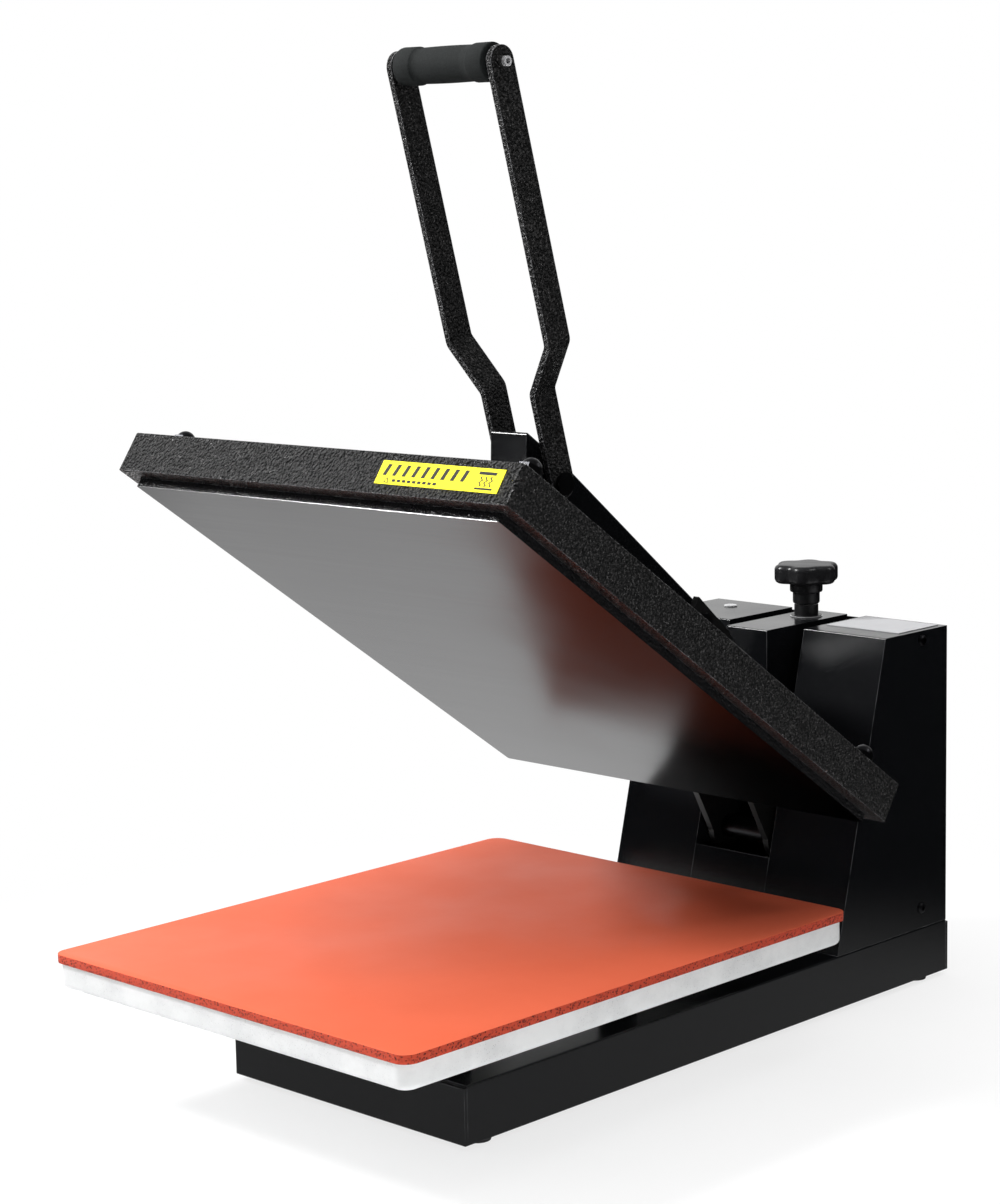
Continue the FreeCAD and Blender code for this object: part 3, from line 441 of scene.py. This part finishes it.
def satinPlaten():
    material, tree, surface, place = newMaterial("satinPlaten", Specular_Tint=(0.45, 0.45, 0.45, 1))
    lines = put(tree, "ShaderNodeMapping", Vector=place, Scale=hotFace["brush"]).outputs[0]
    up = armTurn @ Vector((0, 0, 1))
    face = armPlace @ Vector((0, 0, hotFace["bare"] + arm["workFace"]))
    bare = calc(tree, "LESS_THAN", measure(tree, "DOT_PRODUCT", place, i1=up), face.dot(up))
    color = blendColor(tree, noise(tree, lines, 1.0, 4.0), hotFace["base"], hotFace["mark"])
    tint(tree, surface, blendColor(tree, bare, hotFace["paint"], color))
    tree.links.new(bare, surface.inputs["Metallic"])
    roughen(tree, surface, place, hotFace["gloss"], hotFace["dull"])
    grain = groupNode(tree, grainGroup, Vector=place, Grain=hotFace["grain"])
    painted = calc(tree, "SUBTRACT", 1.0, bare)
    bump(tree, surface, calc(tree, "MULTIPLY", grain.outputs["Height"], painted), 1.0, hotFace["depth"])
    return material


# moulded skin of the silicone sponge
skin = {"light": (0.70, 0.138, 0.07), "deep": (0.62, 0.112, 0.052), "cloud": 14.0, "gloss": 0.44,
        "dull": 0.58, "fine": 900.0, "strength": 0.1, "depth": 0.0004}


def siliconeSkin():
    material, tree, surface, place = newMaterial("siliconeSkin", Specular_IOR_Level=0.12)
    tint(tree, surface, blendColor(tree, noise(tree, place, skin["cloud"], 6.0), skin["light"], skin["deep"]))
    roughen(tree, surface, place, skin["gloss"], skin["dull"])
    bump(tree, surface, noise(tree, place, skin["fine"], 3.0), skin["strength"], skin["depth"])
    return material


# the cut edge shows the open cells of the sponge; the cells are painted near-black as painted shade
sponge = {"wall": (0.42, 0.045, 0.018), "cellShade": (0.06, 0.005, 0.003), "cells": 520.0, "rim": 0.5,
          "floor": 0.2, "patch": 380.0, "patchFrom": 0.36, "patchTo": 0.52, "strength": 0.8,
          "depth": 0.0009}


def siliconeCut():
    material, tree, surface, place = newMaterial("siliconeCut", Roughness=0.85)
    patch = noise(tree, place, sponge["patch"], 4.0)
    deep = spread(tree, cells(tree, place, sponge["cells"]), sponge["rim"], sponge["floor"])
    some = spread(tree, patch, sponge["patchFrom"], sponge["patchTo"])
    pits = calc(tree, "MULTIPLY", deep, some)
    # painted shade: the open cells are darkened
    tint(tree, surface, blendColor(tree, pits, sponge["wall"], sponge["cellShade"]))
    bump(tree, surface, calc(tree, "SUBTRACT", patch, pits), sponge["strength"], sponge["depth"])
    return material


# moulded plastic, rubber and foam: a fine noise in colour and height
plastic = {"from": 0.35, "to": 0.65, "roughStep": 0.12, "depth": 0.0006}


def grainyPlastic(name, low, high, rough, size, strength=0.3, **shader):
    material, tree, surface, place = newMaterial(name, **shader)
    grain = noise(tree, place, size, 4.0)
    tint(tree, surface, blendColor(tree, spread(tree, grain, plastic["from"], plastic["to"]), low, high))
    roughen(tree, surface, place, rough, rough + plastic["roughStep"])
    bump(tree, surface, grain, strength, plastic["depth"])
    return material


# turned, ground or plated metal
steel = {"marks": (300, 300, 300), "roughStep": 0.14, "strength": 0.15, "depth": 0.0003}


def machinedSteel(name, light, dark, rough, metallic=1.0):
    material, tree, surface, place = newMaterial(name, Metallic=metallic)
    lines = put(tree, "ShaderNodeMapping", Vector=place, Scale=steel["marks"]).outputs[0]
    marks = noise(tree, lines, 1.0, 5.0)
    tint(tree, surface, blendColor(tree, marks, light, dark))
    roughen(tree, surface, place, rough, rough + steel["roughStep"])
    bump(tree, surface, marks, steel["strength"], steel["depth"])
    return material


# printed film, slightly uneven
vinyl = {"cloud": 60.0, "strength": 0.06, "depth": 0.0006}


def printedVinyl(name, low, high):
    material, tree, surface, place = newMaterial(name, Roughness=0.62, Specular_IOR_Level=0.2)
    cloud = noise(tree, place, vinyl["cloud"], 5.0)
    tint(tree, surface, blendColor(tree, cloud, low, high))
    bump(tree, surface, cloud, vinyl["strength"], vinyl["depth"])
    return material


hammertone = hammertoneCoat()
satinBlack = satinPaint()
castMetal = castAluminium()
platenMetal = satinPlaten()
skinRed = siliconeSkin()
cutRed = siliconeCut()
foamBlack = grainyPlastic("foamBlack", (0.0055, 0.0065, 0.0065), (0.013, 0.015, 0.015), 0.82, 1100.0, 0.5,
                          Specular_IOR_Level=0.3)
knobBlack = grainyPlastic("knobBlack", (0.006, 0.006, 0.0065), (0.011, 0.011, 0.012), 0.3, 700.0, 0.12)
rubberBlack = grainyPlastic("rubberBlack", (0.015, 0.015, 0.015), (0.028, 0.028, 0.028), 0.7, 500.0)
keyGrey = grainyPlastic("keyGrey", (0.10, 0.105, 0.11), (0.14, 0.145, 0.15), 0.5, 400.0)
rockerRed = grainyPlastic("rockerRed", (0.42, 0.012, 0.01), (0.5, 0.02, 0.015), 0.18, 300.0, 0.08)
boardGreen = grainyPlastic("boardGreen", (0.01, 0.11, 0.03), (0.02, 0.17, 0.05), 0.35, 120.0)
woolBeige = grainyPlastic("woolBeige", (0.5, 0.46, 0.36), (0.72, 0.68, 0.56), 0.9, 260.0, 0.8)
innerPaint = grainyPlastic("innerPaint", (0.002, 0.002, 0.002), (0.004, 0.004, 0.004), 0.5, 300.0, 0.1)
displayGlass = grainyPlastic("displayGlass", (0.006, 0.007, 0.009), (0.008, 0.009, 0.012), 0.06, 20.0, 0.01,
                             Coat_Weight=0.6, Coat_Roughness=0.04)
digitRed = grainyPlastic("digitRed", (0.22, 0.012, 0.01), (0.3, 0.02, 0.015), 0.3, 200.0, 0.05)
brightSteel = machinedSteel("brightSteel", (0.78, 0.78, 0.79), (0.6, 0.6, 0.61), 0.18, metallic=0.7)
darkSteel = machinedSteel("darkSteel", (0.05, 0.05, 0.055), (0.03, 0.03, 0.032), 0.34)
bronze = machinedSteel("bronze", (0.72, 0.47, 0.22), (0.5, 0.31, 0.13), 0.3)
labelYellow = printedVinyl("labelYellow", (0.95, 0.86, 0.012), (0.88, 0.78, 0.01))
labelWhite = printedVinyl("labelWhite", (0.40, 0.40, 0.41), (0.34, 0.34, 0.35))
inkBlack = printedVinyl("inkBlack", (0.012, 0.012, 0.012), (0.02, 0.02, 0.02))

finishes = {
    "hammertone_black": hammertone, "satin_black": satinBlack, "cast_aluminium": castMetal,
    "satin_platen": platenMetal, "silicone": skinRed, "bright_steel": brightSteel, "dark_steel": darkSteel,
    "bronze": bronze, "black_plastic": knobBlack, "rocker_plastic": rockerRed, "button_rubber": keyGrey,
    "foam": foamBlack, "rubber": rubberBlack, "display": displayGlass, "board": boardGreen,
    "label_white": labelWhite, "label_yellow": labelYellow, "mineral_wool": woolBeige,
}
for part in frame["record"]["subparts"]:
    mesh = nodes[part["node"]].data
    mesh.materials.clear()
    mesh.materials.append(finishes[part["material_slot"]])

# plates that stand inside the housing slots are painted matt
for name in ("pivot_brackets", "cheek_plate_left", "cheek_plate_right", "link_bars"):
    nodes[name].data.materials[0] = innerPaint
print("materials made")

# silicone pad: rounded corners in plan, sharp cut rim
sheetPad = {"corner": 0.012, "cornerSteps": 10, "rim": 0.0004, "rimSteps": 2}


def makePad():
    low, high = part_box("silicone_pad")
    pad = block("siliconePad", low, high)
    pickEdges(pad, lambda a, b: abs(a.z - b.z) > 0.001)
    bpy.ops.mesh.bevel(offset=sheetPad["corner"], segments=sheetPad["cornerSteps"], affect="EDGES")
    pickFaces(pad, lambda spot, normal: abs(normal.z) > 0.9)
    bpy.ops.mesh.bevel(offset=sheetPad["rim"], segments=sheetPad["rimSteps"], affect="EDGES")
    endEdit()
    pad.data.materials.append(skinRed)
    pad.data.materials.append(cutRed)
    for face in pad.data.polygons:
        face.material_index = 0 if face.normal.z > 0.8 else 1
    smooth(pad, 25)
    fit(pad, "frame", None)
    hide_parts("silicone_pad")


makePad()

# foam grip: fuller in the middle, with a thick collar and a rolled lip at each end
foamGrip = {"collar": 0.0150, "collarWide": 0.019, "roll": 0.002, "lipSteps": 4,
            "slope": ((0.0022, 0.0001), (0.0008, 0.0005)), "middle": 0.0138, "belly": 0.0004, "steps": 8}


def makeGrip():
    low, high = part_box("foam_grip")
    half = (high.x - low.x) / 2
    shoulder = half - foamGrip["collarWide"]
    nearEnd = []
    for i in range(foamGrip["lipSteps"] + 1):
        angle = math.pi / 2 * i / foamGrip["lipSteps"]
        nearEnd.append((-half + foamGrip["roll"] * (1 - math.cos(angle)),
                        foamGrip["collar"] - foamGrip["roll"] * (1 - math.sin(angle))))
    for out, less in foamGrip["slope"]:
        nearEnd.append((-shoulder - out, foamGrip["collar"] - less))
    middle = []
    for i in range(foamGrip["steps"] + 1):
        spot = -1 + 2 * i / foamGrip["steps"]
        middle.append((shoulder * spot,
                       foamGrip["middle"] + foamGrip["belly"] * math.cos(spot * math.pi / 2)))
    farEnd = [(-distance, radius) for distance, radius in reversed(nearEnd)]
    grip = lathe("foamGrip", (low + high) / 2, (1, 0, 0), nearEnd + middle + farEnd, 72)
    smooth(grip, 50)
    fit(grip, "handle", foamBlack)
    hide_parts("foam_grip")


makeGrip()
print("soft parts made")

# pressure knob: a six-lobed star on a turned neck, with a cap ring on top
knobStar = {"tall": 0.017, "lobes": 6, "columns": 12, "valley": 0.84, "pinch": 1.6, "round": 0.0046,
            "roundSteps": 5, "sides": 48}
knobCap = {"sink": 0.0004, "rings": [
    (-0.003, 0.0125), (-0.001, 0.0125), (0.0001, 0.0119), (0.0004, 0.0111), (0.0003, 0.0101),
    (-0.0008, 0.0091), (-0.0009, 0.001)]}
knobNeck = {"rings": [
    (0, 0.0108), (0.0006, 0.0118), (0.0020, 0.0121), (0.0095, 0.0121), (0.0104, 0.0128), (0.0108, 0.0143),
    (0.0120, 0.0147), (0.0180, 0.0147), (0.0195, 0.0172), (0.0230, 0.0172)]}


def makeStar(centre, radius, top):
    sides = knobStar["lobes"] * knobStar["columns"]
    foot = (centre.x, centre.y, top - knobStar["tall"])
    star = disc("knobStar", radius, foot, (centre.x, centre.y, top), sides)
    for column in range(knobStar["columns"]):
        share = (1 + math.cos(2 * math.pi * column / knobStar["columns"])) / 2
        factor = 1 - (1 - knobStar["valley"]) * share ** knobStar["pinch"]
        shape = startEdit(star, "VERT")
        for vertex in shape.verts:
            angle = math.atan2(vertex.co.x - centre.x, vertex.co.y - centre.y)
            index = round(angle / (2 * math.pi) * sides) % knobStar["columns"]
            vertex.select_set(index == column)
        bmesh.update_edit_mesh(star.data)
        bpy.ops.transform.resize(value=(factor, factor, 1), center_override=(centre.x, centre.y, 0))
        endEdit()
    pickFaces(star, lambda spot, normal: abs(normal.z) > 0.9)
    bpy.ops.mesh.bevel(offset=knobStar["round"], segments=knobStar["roundSteps"], affect="EDGES")
    endEdit()
    return star


def makeKnob():
    low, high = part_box("pressure_knob")
    centre = (low + high) / 2
    star = makeStar(centre, (high.y - low.y) / 2, high.z)
    top = (centre.x, centre.y, high.z - knobCap["sink"])
    cap = lathe("knobCap", top, (0, 0, 1), knobCap["rings"], knobStar["sides"])
    foot = (centre.x, centre.y, low.z)
    neck = lathe("knobNeck", foot, (0, 0, 1), knobNeck["rings"], knobStar["sides"])
    knob = joined("pressureKnob", [star, cap, neck])
    smooth(knob, 35)
    fit(knob, "adjusting_knob", knobBlack)
    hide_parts("pressure_knob")


makeKnob()
print("knob made")

# bright washer on the tower, round the screw bush
thrust = {"radius": 0.0145, "thick": 0.0010, "rim": 0.0003, "sides": 48}


def makeThrustWasher():
    low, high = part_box("pressure_knob")
    centre = (low + high) / 2
    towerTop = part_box("pressure_tower")[1].z
    washer = lathe("thrustWasher", (centre.x, centre.y, towerTop), (0, 0, 1), [
        (0, thrust["radius"] - thrust["rim"]), (thrust["rim"], thrust["radius"]),
        (thrust["thick"] - thrust["rim"], thrust["radius"]),
        (thrust["thick"], thrust["radius"] - thrust["rim"])], thrust["sides"])
    smooth(washer, 35)
    fit(washer, "frame", brightSteel)


makeThrustWasher()

# dark collars behind the heads of the grip screws
gripCollar = {"radius": 0.0044, "thick": 0.0030, "rim": 0.0004, "gap": 0.00002, "sides": 32}


def makeGripCollars():
    low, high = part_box("grip_screws")
    centre = (low + high) / 2
    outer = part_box("handle_bar_right")[1].x
    collars = []
    for side in (-1, 1):
        start = (centre.x + side * (outer - centre.x + gripCollar["gap"]), centre.y, centre.z)
        collars.append(lathe("collar", start, (side, 0, 0), [
            (0, gripCollar["radius"]), (gripCollar["thick"] - gripCollar["rim"], gripCollar["radius"]),
            (gripCollar["thick"], gripCollar["radius"] - gripCollar["rim"])], gripCollar["sides"]))
    whole = joined("gripCollars", collars)
    smooth(whole, 35)
    fit(whole, "handle", rubberBlack)


makeGripCollars()

# printed marks on the yellow label, no lettering; x runs along the cover's front, z up from its lower edge,
# and the hot plate and hand are (x back from the right end, z) of two corners
labelMarks = {"left": 0.077, "right": 0.200, "face": -0.0003, "thick": 0.00012}
slantBars = {"count": 9, "edge": 0.005, "pitch": 0.0098, "wide": 0.0036, "low": 0.0150, "high": 0.0242,
             "lean": 0.0022}
dashes = {"count": 9, "edge": 0.017, "pitch": 0.0052, "wide": 0.0034, "low": 0.0102, "tall": 0.0021}
warning = {"radius": 0.0030, "edge": 0.0115, "up": 0.0106, "wall": 0.0006}
heatLines = {"count": 3, "edge": 0.0100, "pitch": 0.0048, "wide": 0.0013, "low": 0.0125, "tall": 0.0080,
             "swing": 0.0010, "steps": 24}
signBlocks = {"hotPlate": ((0.0230, 0.0100), (0.0060, 0.0115)), "hand": ((0.0240, 0.0218), (0.0070, 0.0242))}


def makeWarning(deep):
    # a triangle with its middle cut out
    across = labelMarks["left"] + warning["edge"]
    sign = disc("triangle", warning["radius"], (across, labelMarks["face"], warning["up"]),
                (across, deep, warning["up"]), 3)
    pickFaces(sign, lambda spot, normal: abs(normal.y) > 0.9)
    bpy.ops.mesh.inset(thickness=warning["wall"])
    bpy.ops.mesh.delete(type="FACE")
    endEdit()
    startEdit(sign, "EDGE")
    bpy.ops.mesh.select_non_manifold()
    bpy.ops.mesh.bridge_edge_loops()
    endEdit()
    return sign


def makeHeatLine(across):
    clear()
    bpy.ops.mesh.primitive_grid_add(x_subdivisions=1, y_subdivisions=heatLines["steps"], size=1)
    line = bpy.context.object
    for vertex in line.data.vertices:
        share = vertex.co.y + 0.5
        swing = heatLines["swing"] * math.sin(share * 4 * math.pi)
        vertex.co = (across + vertex.co.x * heatLines["wide"] + swing,
                     labelMarks["face"] - labelMarks["thick"] / 2,
                     heatLines["low"] + share * heatLines["tall"])
    apply(line, "SOLIDIFY", thickness=labelMarks["thick"], offset=0)
    return line


def makeLabelMarks():
    face = labelMarks["face"]
    deep = face - labelMarks["thick"]
    marks = []
    for i in range(slantBars["count"]):
        start = labelMarks["left"] + slantBars["edge"] + i * slantBars["pitch"]
        bar = block("bar", (start, deep, slantBars["low"]),
                    (start + slantBars["wide"], face, slantBars["high"]))
        pickFaces(bar, lambda spot, normal: normal.z > 0.9)
        bpy.ops.transform.translate(value=(slantBars["lean"], 0, 0))
        endEdit()
        marks.append(bar)
    for i in range(dashes["count"]):
        start = labelMarks["left"] + dashes["edge"] + i * dashes["pitch"]
        marks.append(block("dash", (start, deep, dashes["low"]),
                           (start + dashes["wide"], face, dashes["low"] + dashes["tall"])))
    marks.append(makeWarning(deep))
    for i in range(heatLines["count"]):
        marks.append(makeHeatLine(labelMarks["right"] - heatLines["edge"] - i * heatLines["pitch"]))
    for name, (low, high) in signBlocks.items():
        marks.append(block(name, (labelMarks["right"] - low[0], deep, low[1]),
                           (labelMarks["right"] - high[0], face, high[1])))
    whole = joined("labelMarks", marks)
    fit(whole, "arm", inkBlack, onArm=True)


makeLabelMarks()
print("label marks made")

# button-head screws on the housing, and a bright plug on its top
capScrew = {"radius": 0.0048, "recess": 0.0022, "recessFrom": 0.0009, "recessTo": 0.005, "sides": 32,
            "dome": ((0, 1.0), (0.0006, 1.0), (0.0013, 0.92), (0.0019, 0.76), (0.0024, 0.5)),
            "inFromBack": 0.037, "belowTop": 0.0085, "aboveFoot": 0.018,
            "rearAcross": (-0.118, 0.118), "rearUp": (0.30, 0.18, 0.066)}
topPlug = {"place": (-0.091, 0.336), "rings": [
    (0, 0.0062), (0.0008, 0.0062), (0.0014, 0.0054), (0.0016, 0.0036), (0.0014, 0.0030)]}


def makeScrew(name, spot, axis):
    spot, axis = Vector(spot), Vector(axis)
    rings = [(up, capScrew["radius"] * share) for up, share in capScrew["dome"]]
    head = lathe(name, spot, axis, rings, capScrew["sides"])
    key = disc("key", capScrew["recess"], spot + axis * capScrew["recessFrom"],
               spot + axis * capScrew["recessTo"], 6)
    apply(head, "BOOLEAN", object=key, operation="DIFFERENCE", solver="EXACT")
    bpy.data.objects.remove(key)
    smooth(head, 35)
    return head


def makeHousingScrews():
    low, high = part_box("housing_right")
    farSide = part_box("housing_left")[0].x
    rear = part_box("rear_panel")[1].y
    back = high.y - capScrew["inFromBack"]
    heads = []
    for x, axis in ((high.x, (1, 0, 0)), (farSide, (-1, 0, 0))):
        for z in (high.z - capScrew["belowTop"], low.z + capScrew["aboveFoot"]):
            heads.append(makeScrew("sideScrew", (x, back, z), axis))
    for x in capScrew["rearAcross"]:
        for z in capScrew["rearUp"]:
            heads.append(makeScrew("rearScrew", (x, rear, z), (0, 1, 0)))
    screws = joined("housingScrews", heads)
    fit(screws, "frame", darkSteel)
    plug = lathe("topPlug", (*topPlug["place"], high.z), (0, 0, 1), topPlug["rings"], 40)
    smooth(plug, 40)
    fit(plug, "frame", brightSteel)


makeHousingScrews()

# pressed louvres in the rear panel
louvre = {"wide": 0.056, "tall": 0.0055, "deep": 0.0022, "pitch": 0.0125, "count": 7, "x": 0.068, "z": 0.145,
          "slope": 0.95, "slopeSteps": 5, "soft": 0.0005}


def makeLouvres():
    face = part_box("rear_panel")[1].y
    low = (louvre["x"] - louvre["wide"] / 2, face, louvre["z"])
    high = (louvre["x"] + louvre["wide"] / 2, face + louvre["deep"], louvre["z"] + louvre["tall"])
    first = block("louvre", low, high)
    pickEdges(first, lambda a, b: min(a.y, b.y) > face + 0.001 and min(a.z, b.z) > louvre["z"] + 0.001)
    bpy.ops.mesh.bevel(offset=louvre["deep"] * louvre["slope"], segments=louvre["slopeSteps"], affect="EDGES")
    endEdit()
    apply(first, "BEVEL", width=louvre["soft"], segments=2, limit_method="ANGLE",
          angle_limit=math.radians(40))
    rows = [first]
    for i in range(1, louvre["count"]):
        rows.append(copyOf(first, "louvre", (0, 0, louvre["pitch"] * i)))
    whole = joined("rearLouvres", rows)
    smooth(whole, 35)
    fit(whole, "frame", satinBlack)


makeLouvres()

# weld beads along the beam and the cheek plates; a run is (x from the middle, front, rear) on the arm
bead = {"radius": 0.0017, "ripple": 0.00035, "pitch": 0.0024, "sides": 10, "taper": 0.4, "lift": 0.0003,
        "runs": ((0.0198, 0.250, 0.410), (0.0346, 0.420, 0.520))}


def makeBead(x, front, rear, up):
    rings = []
    steps = int((rear - front) / (bead["pitch"] / 2))
    for i in range(steps + 1):
        radius = bead["radius"] + (bead["ripple"] if i % 2 else 0)
        if i in (0, steps):
            radius = bead["radius"] * bead["taper"]
        rings.append((front + (rear - front) * i / steps, radius))
    return lathe("bead", (x, 0, up), (0, 1, 0), rings, bead["sides"])


def makeWelds():
    up = arm["coverHeight"] + arm["sheet"] + bead["lift"]
    beads = []
    for side in (-1, 1):
        for across, front, rear in bead["runs"]:
            beads.append(makeBead(side * across, front, rear, up))
    welds = joined("armWelds", beads)
    smooth(welds, 60)
    fit(welds, "arm", satinBlack, onArm=True)


makeWelds()

# two rows of segment digits on the display, all segments lit
digits = {"wide": 0.0052, "tall": 0.0098, "bar": 0.0011, "pitch": 0.0082, "count": 4, "thick": 0.0002,
          "upperDown": 0.014, "lowerUp": 0.009, "gap": 0.7}


def makeDigits():
    low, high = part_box("controller_display")
    front = low.x - digits["thick"]
    half = digits["wide"] / 2
    tall = digits["tall"] / 2
    bar = digits["bar"]
    gap = bar * digits["gap"]
    bars = []
    for rowUp in (high.z - digits["upperDown"], low.z + digits["lowerUp"]):
        for i in range(digits["count"]):
            y = (low.y + high.y) / 2 + (i - (digits["count"] - 1) / 2) * digits["pitch"]
            for up in (-tall, 0, tall):
                z = rowUp + up
                bars.append(block("bar", (front, y - half + bar, z - bar / 2),
                                  (low.x, y + half - bar, z + bar / 2)))
            for across in (-half, half):
                for up in (-tall, 0):
                    z = rowUp + up
                    bars.append(block("bar", (front, y + across - bar / 2, z + gap),
                                      (low.x, y + across + bar / 2, z + tall - gap)))
    whole = joined("displayDigits", bars)
    fit(whole, "frame", digitRed)


makeDigits()
print("detail pieces made")

# paper near the machine, which the eye sees mostly as white glow: painted light that lightens its cast shadow;
# further out it is plain white to the eye, and reflections see only a glowing patch and ring, a painted reflection
paper = {"size": 60, "color": (0.92, 0.92, 0.925), "shade": 0.985, "near": 0.3, "far": 0.75, "shadowLiftGlow": 0.76,
         "patch": (-0.55, 0.2, 0), "patchNear": 0.3, "patchFar": 0.6, "patchGlow": 2.9,
         "ringNear": 0.35, "ringFar": 0.7, "ringGlow": 0.35}


def fade(tree, value, start, stop, low, high):
    return spread(tree, value, start, stop, low, high, interpolation_type="SMOOTHSTEP")


def makeFloor():
    clear()
    bpy.ops.mesh.primitive_plane_add(size=paper["size"], location=(0, 0, 0))
    floor = bpy.context.object
    floor.name = "floor"
    material, tree, surface, place = newMaterial("floorPaper", Roughness=0.9, Specular_IOR_Level=0.1)
    low = [value * paper["shade"] for value in paper["color"]]
    tint(tree, surface, blendColor(tree, noise(tree, place, 2.0, 2.0), paper["color"], low))
    away = measure(tree, "LENGTH", place)
    aside = measure(tree, "DISTANCE", place, i1=paper["patch"])
    path = put(tree, "ShaderNodeLightPath")
    toEye = path.outputs["Is Camera Ray"]
    # painted light: near the machine the paper is mostly white glow to the eye, which lightens its cast shadow
    shadowLiftGlow = fade(tree, away, paper["near"], paper["far"], paper["shadowLiftGlow"], 1.0)
    # painted reflection: a glowing patch and a ring round the machine, seen only in reflections
    patch = fade(tree, aside, paper["patchNear"], paper["patchFar"], paper["patchGlow"], 0.0)
    ring = fade(tree, away, paper["ringNear"], paper["ringFar"], paper["ringGlow"], 0.0)
    reflectedGlow = calc(tree, "ADD", patch, ring)
    share = calc(tree, "MAXIMUM", calc(tree, "MULTIPLY", shadowLiftGlow, toEye), path.outputs["Is Glossy Ray"])
    level = put(tree, "ShaderNodeMix", Factor=toEye, A=reflectedGlow, B=1.0)
    glow = put(tree, "ShaderNodeEmission", Strength=level.outputs[0])
    mix = put(tree, "ShaderNodeMixShader", i0=share, i1=surface.outputs[0], i2=glow.outputs[0])
    tree.links.new(mix.outputs[0], tree.nodes["Material Output"].inputs["Surface"])
    floor.data.materials.append(material)


def addLight(name, place, aim, size, power, tall=None, mirrored=True):
    data = bpy.data.lights.new(name, "AREA")
    data.energy = power
    data.size = size
    if tall:
        data.shape = "RECTANGLE"
        data.size_y = tall
    lamp = bpy.data.objects.new(name, data)
    bpy.context.scene.collection.objects.link(lamp)
    lamp.location = place
    lamp.rotation_euler = (Vector(aim) - Vector(place)).to_track_quat("-Z", "Y").to_euler()
    lamp.visible_glossy = mirrored


# white behind the machine; in reflections a pale ceiling and a rear-left wall over a dark room
room = {"ambient": 0.24, "sky": 0.2, "horizon": 0.003, "skyFrom": 0.3, "skyTo": 0.95, "wall": 0.9,
        "wallToward": (-0.7, 0.7, 0.15), "wallFrom": 0.6, "wallTo": 0.95}


def makeWorld():
    world = bpy.data.worlds.new("studio")
    world.use_nodes = True
    tree = world.node_tree
    back = tree.nodes["Background"]
    path = put(tree, "ShaderNodeLightPath")
    aim = put(tree, "ShaderNodeTexCoord").outputs["Generated"]
    above = measure(tree, "DOT_PRODUCT", aim, i1=(0, 0, 1))
    behind = measure(tree, "DOT_PRODUCT", aim, i1=room["wallToward"])
    sky = fade(tree, above, room["skyFrom"], room["skyTo"], room["horizon"], room["sky"])
    wall = fade(tree, behind, room["wallFrom"], room["wallTo"], 0.0, room["wall"])
    mirrored = calc(tree, "ADD", sky, wall)
    unseen = put(tree, "ShaderNodeMix", Factor=path.outputs["Is Glossy Ray"], A=room["ambient"], B=mirrored)
    whole = put(tree, "ShaderNodeMix", Factor=path.outputs["Is Camera Ray"], A=unseen.outputs[0], B=1.0)
    tree.links.new(whole.outputs[0], back.inputs["Strength"])
    back.inputs["Color"].default_value = (1, 1, 1, 1)
    bpy.context.scene.world = world


makeFloor()
addLight("overhead", (-0.2, -0.1, 2.4), (0, 0, 0.1), 2.6, 62, mirrored=False)
addLight("frontLeft", (-1.5, -1.8, 1.6), (0, -0.1, 0.4), 1.2, 26, mirrored=False)
addLight("sheen", (-1.6, -1.25, 1.9), (0, -0.27, 0.5), 0.4, 68)
addLight("rightSide", (1.5, -1.0, 0.14), (0.2, -0.1, 0.1), 0.5, 10, tall=0.16, mirrored=False)
addLight("rearRight", (0.9, 0.9, 1.15), (0, -0.1, 0.75), 0.25, 2.2)
makeWorld()
bpy.context.scene.view_settings.view_transform = "Standard"
print("floor, lights and world made")
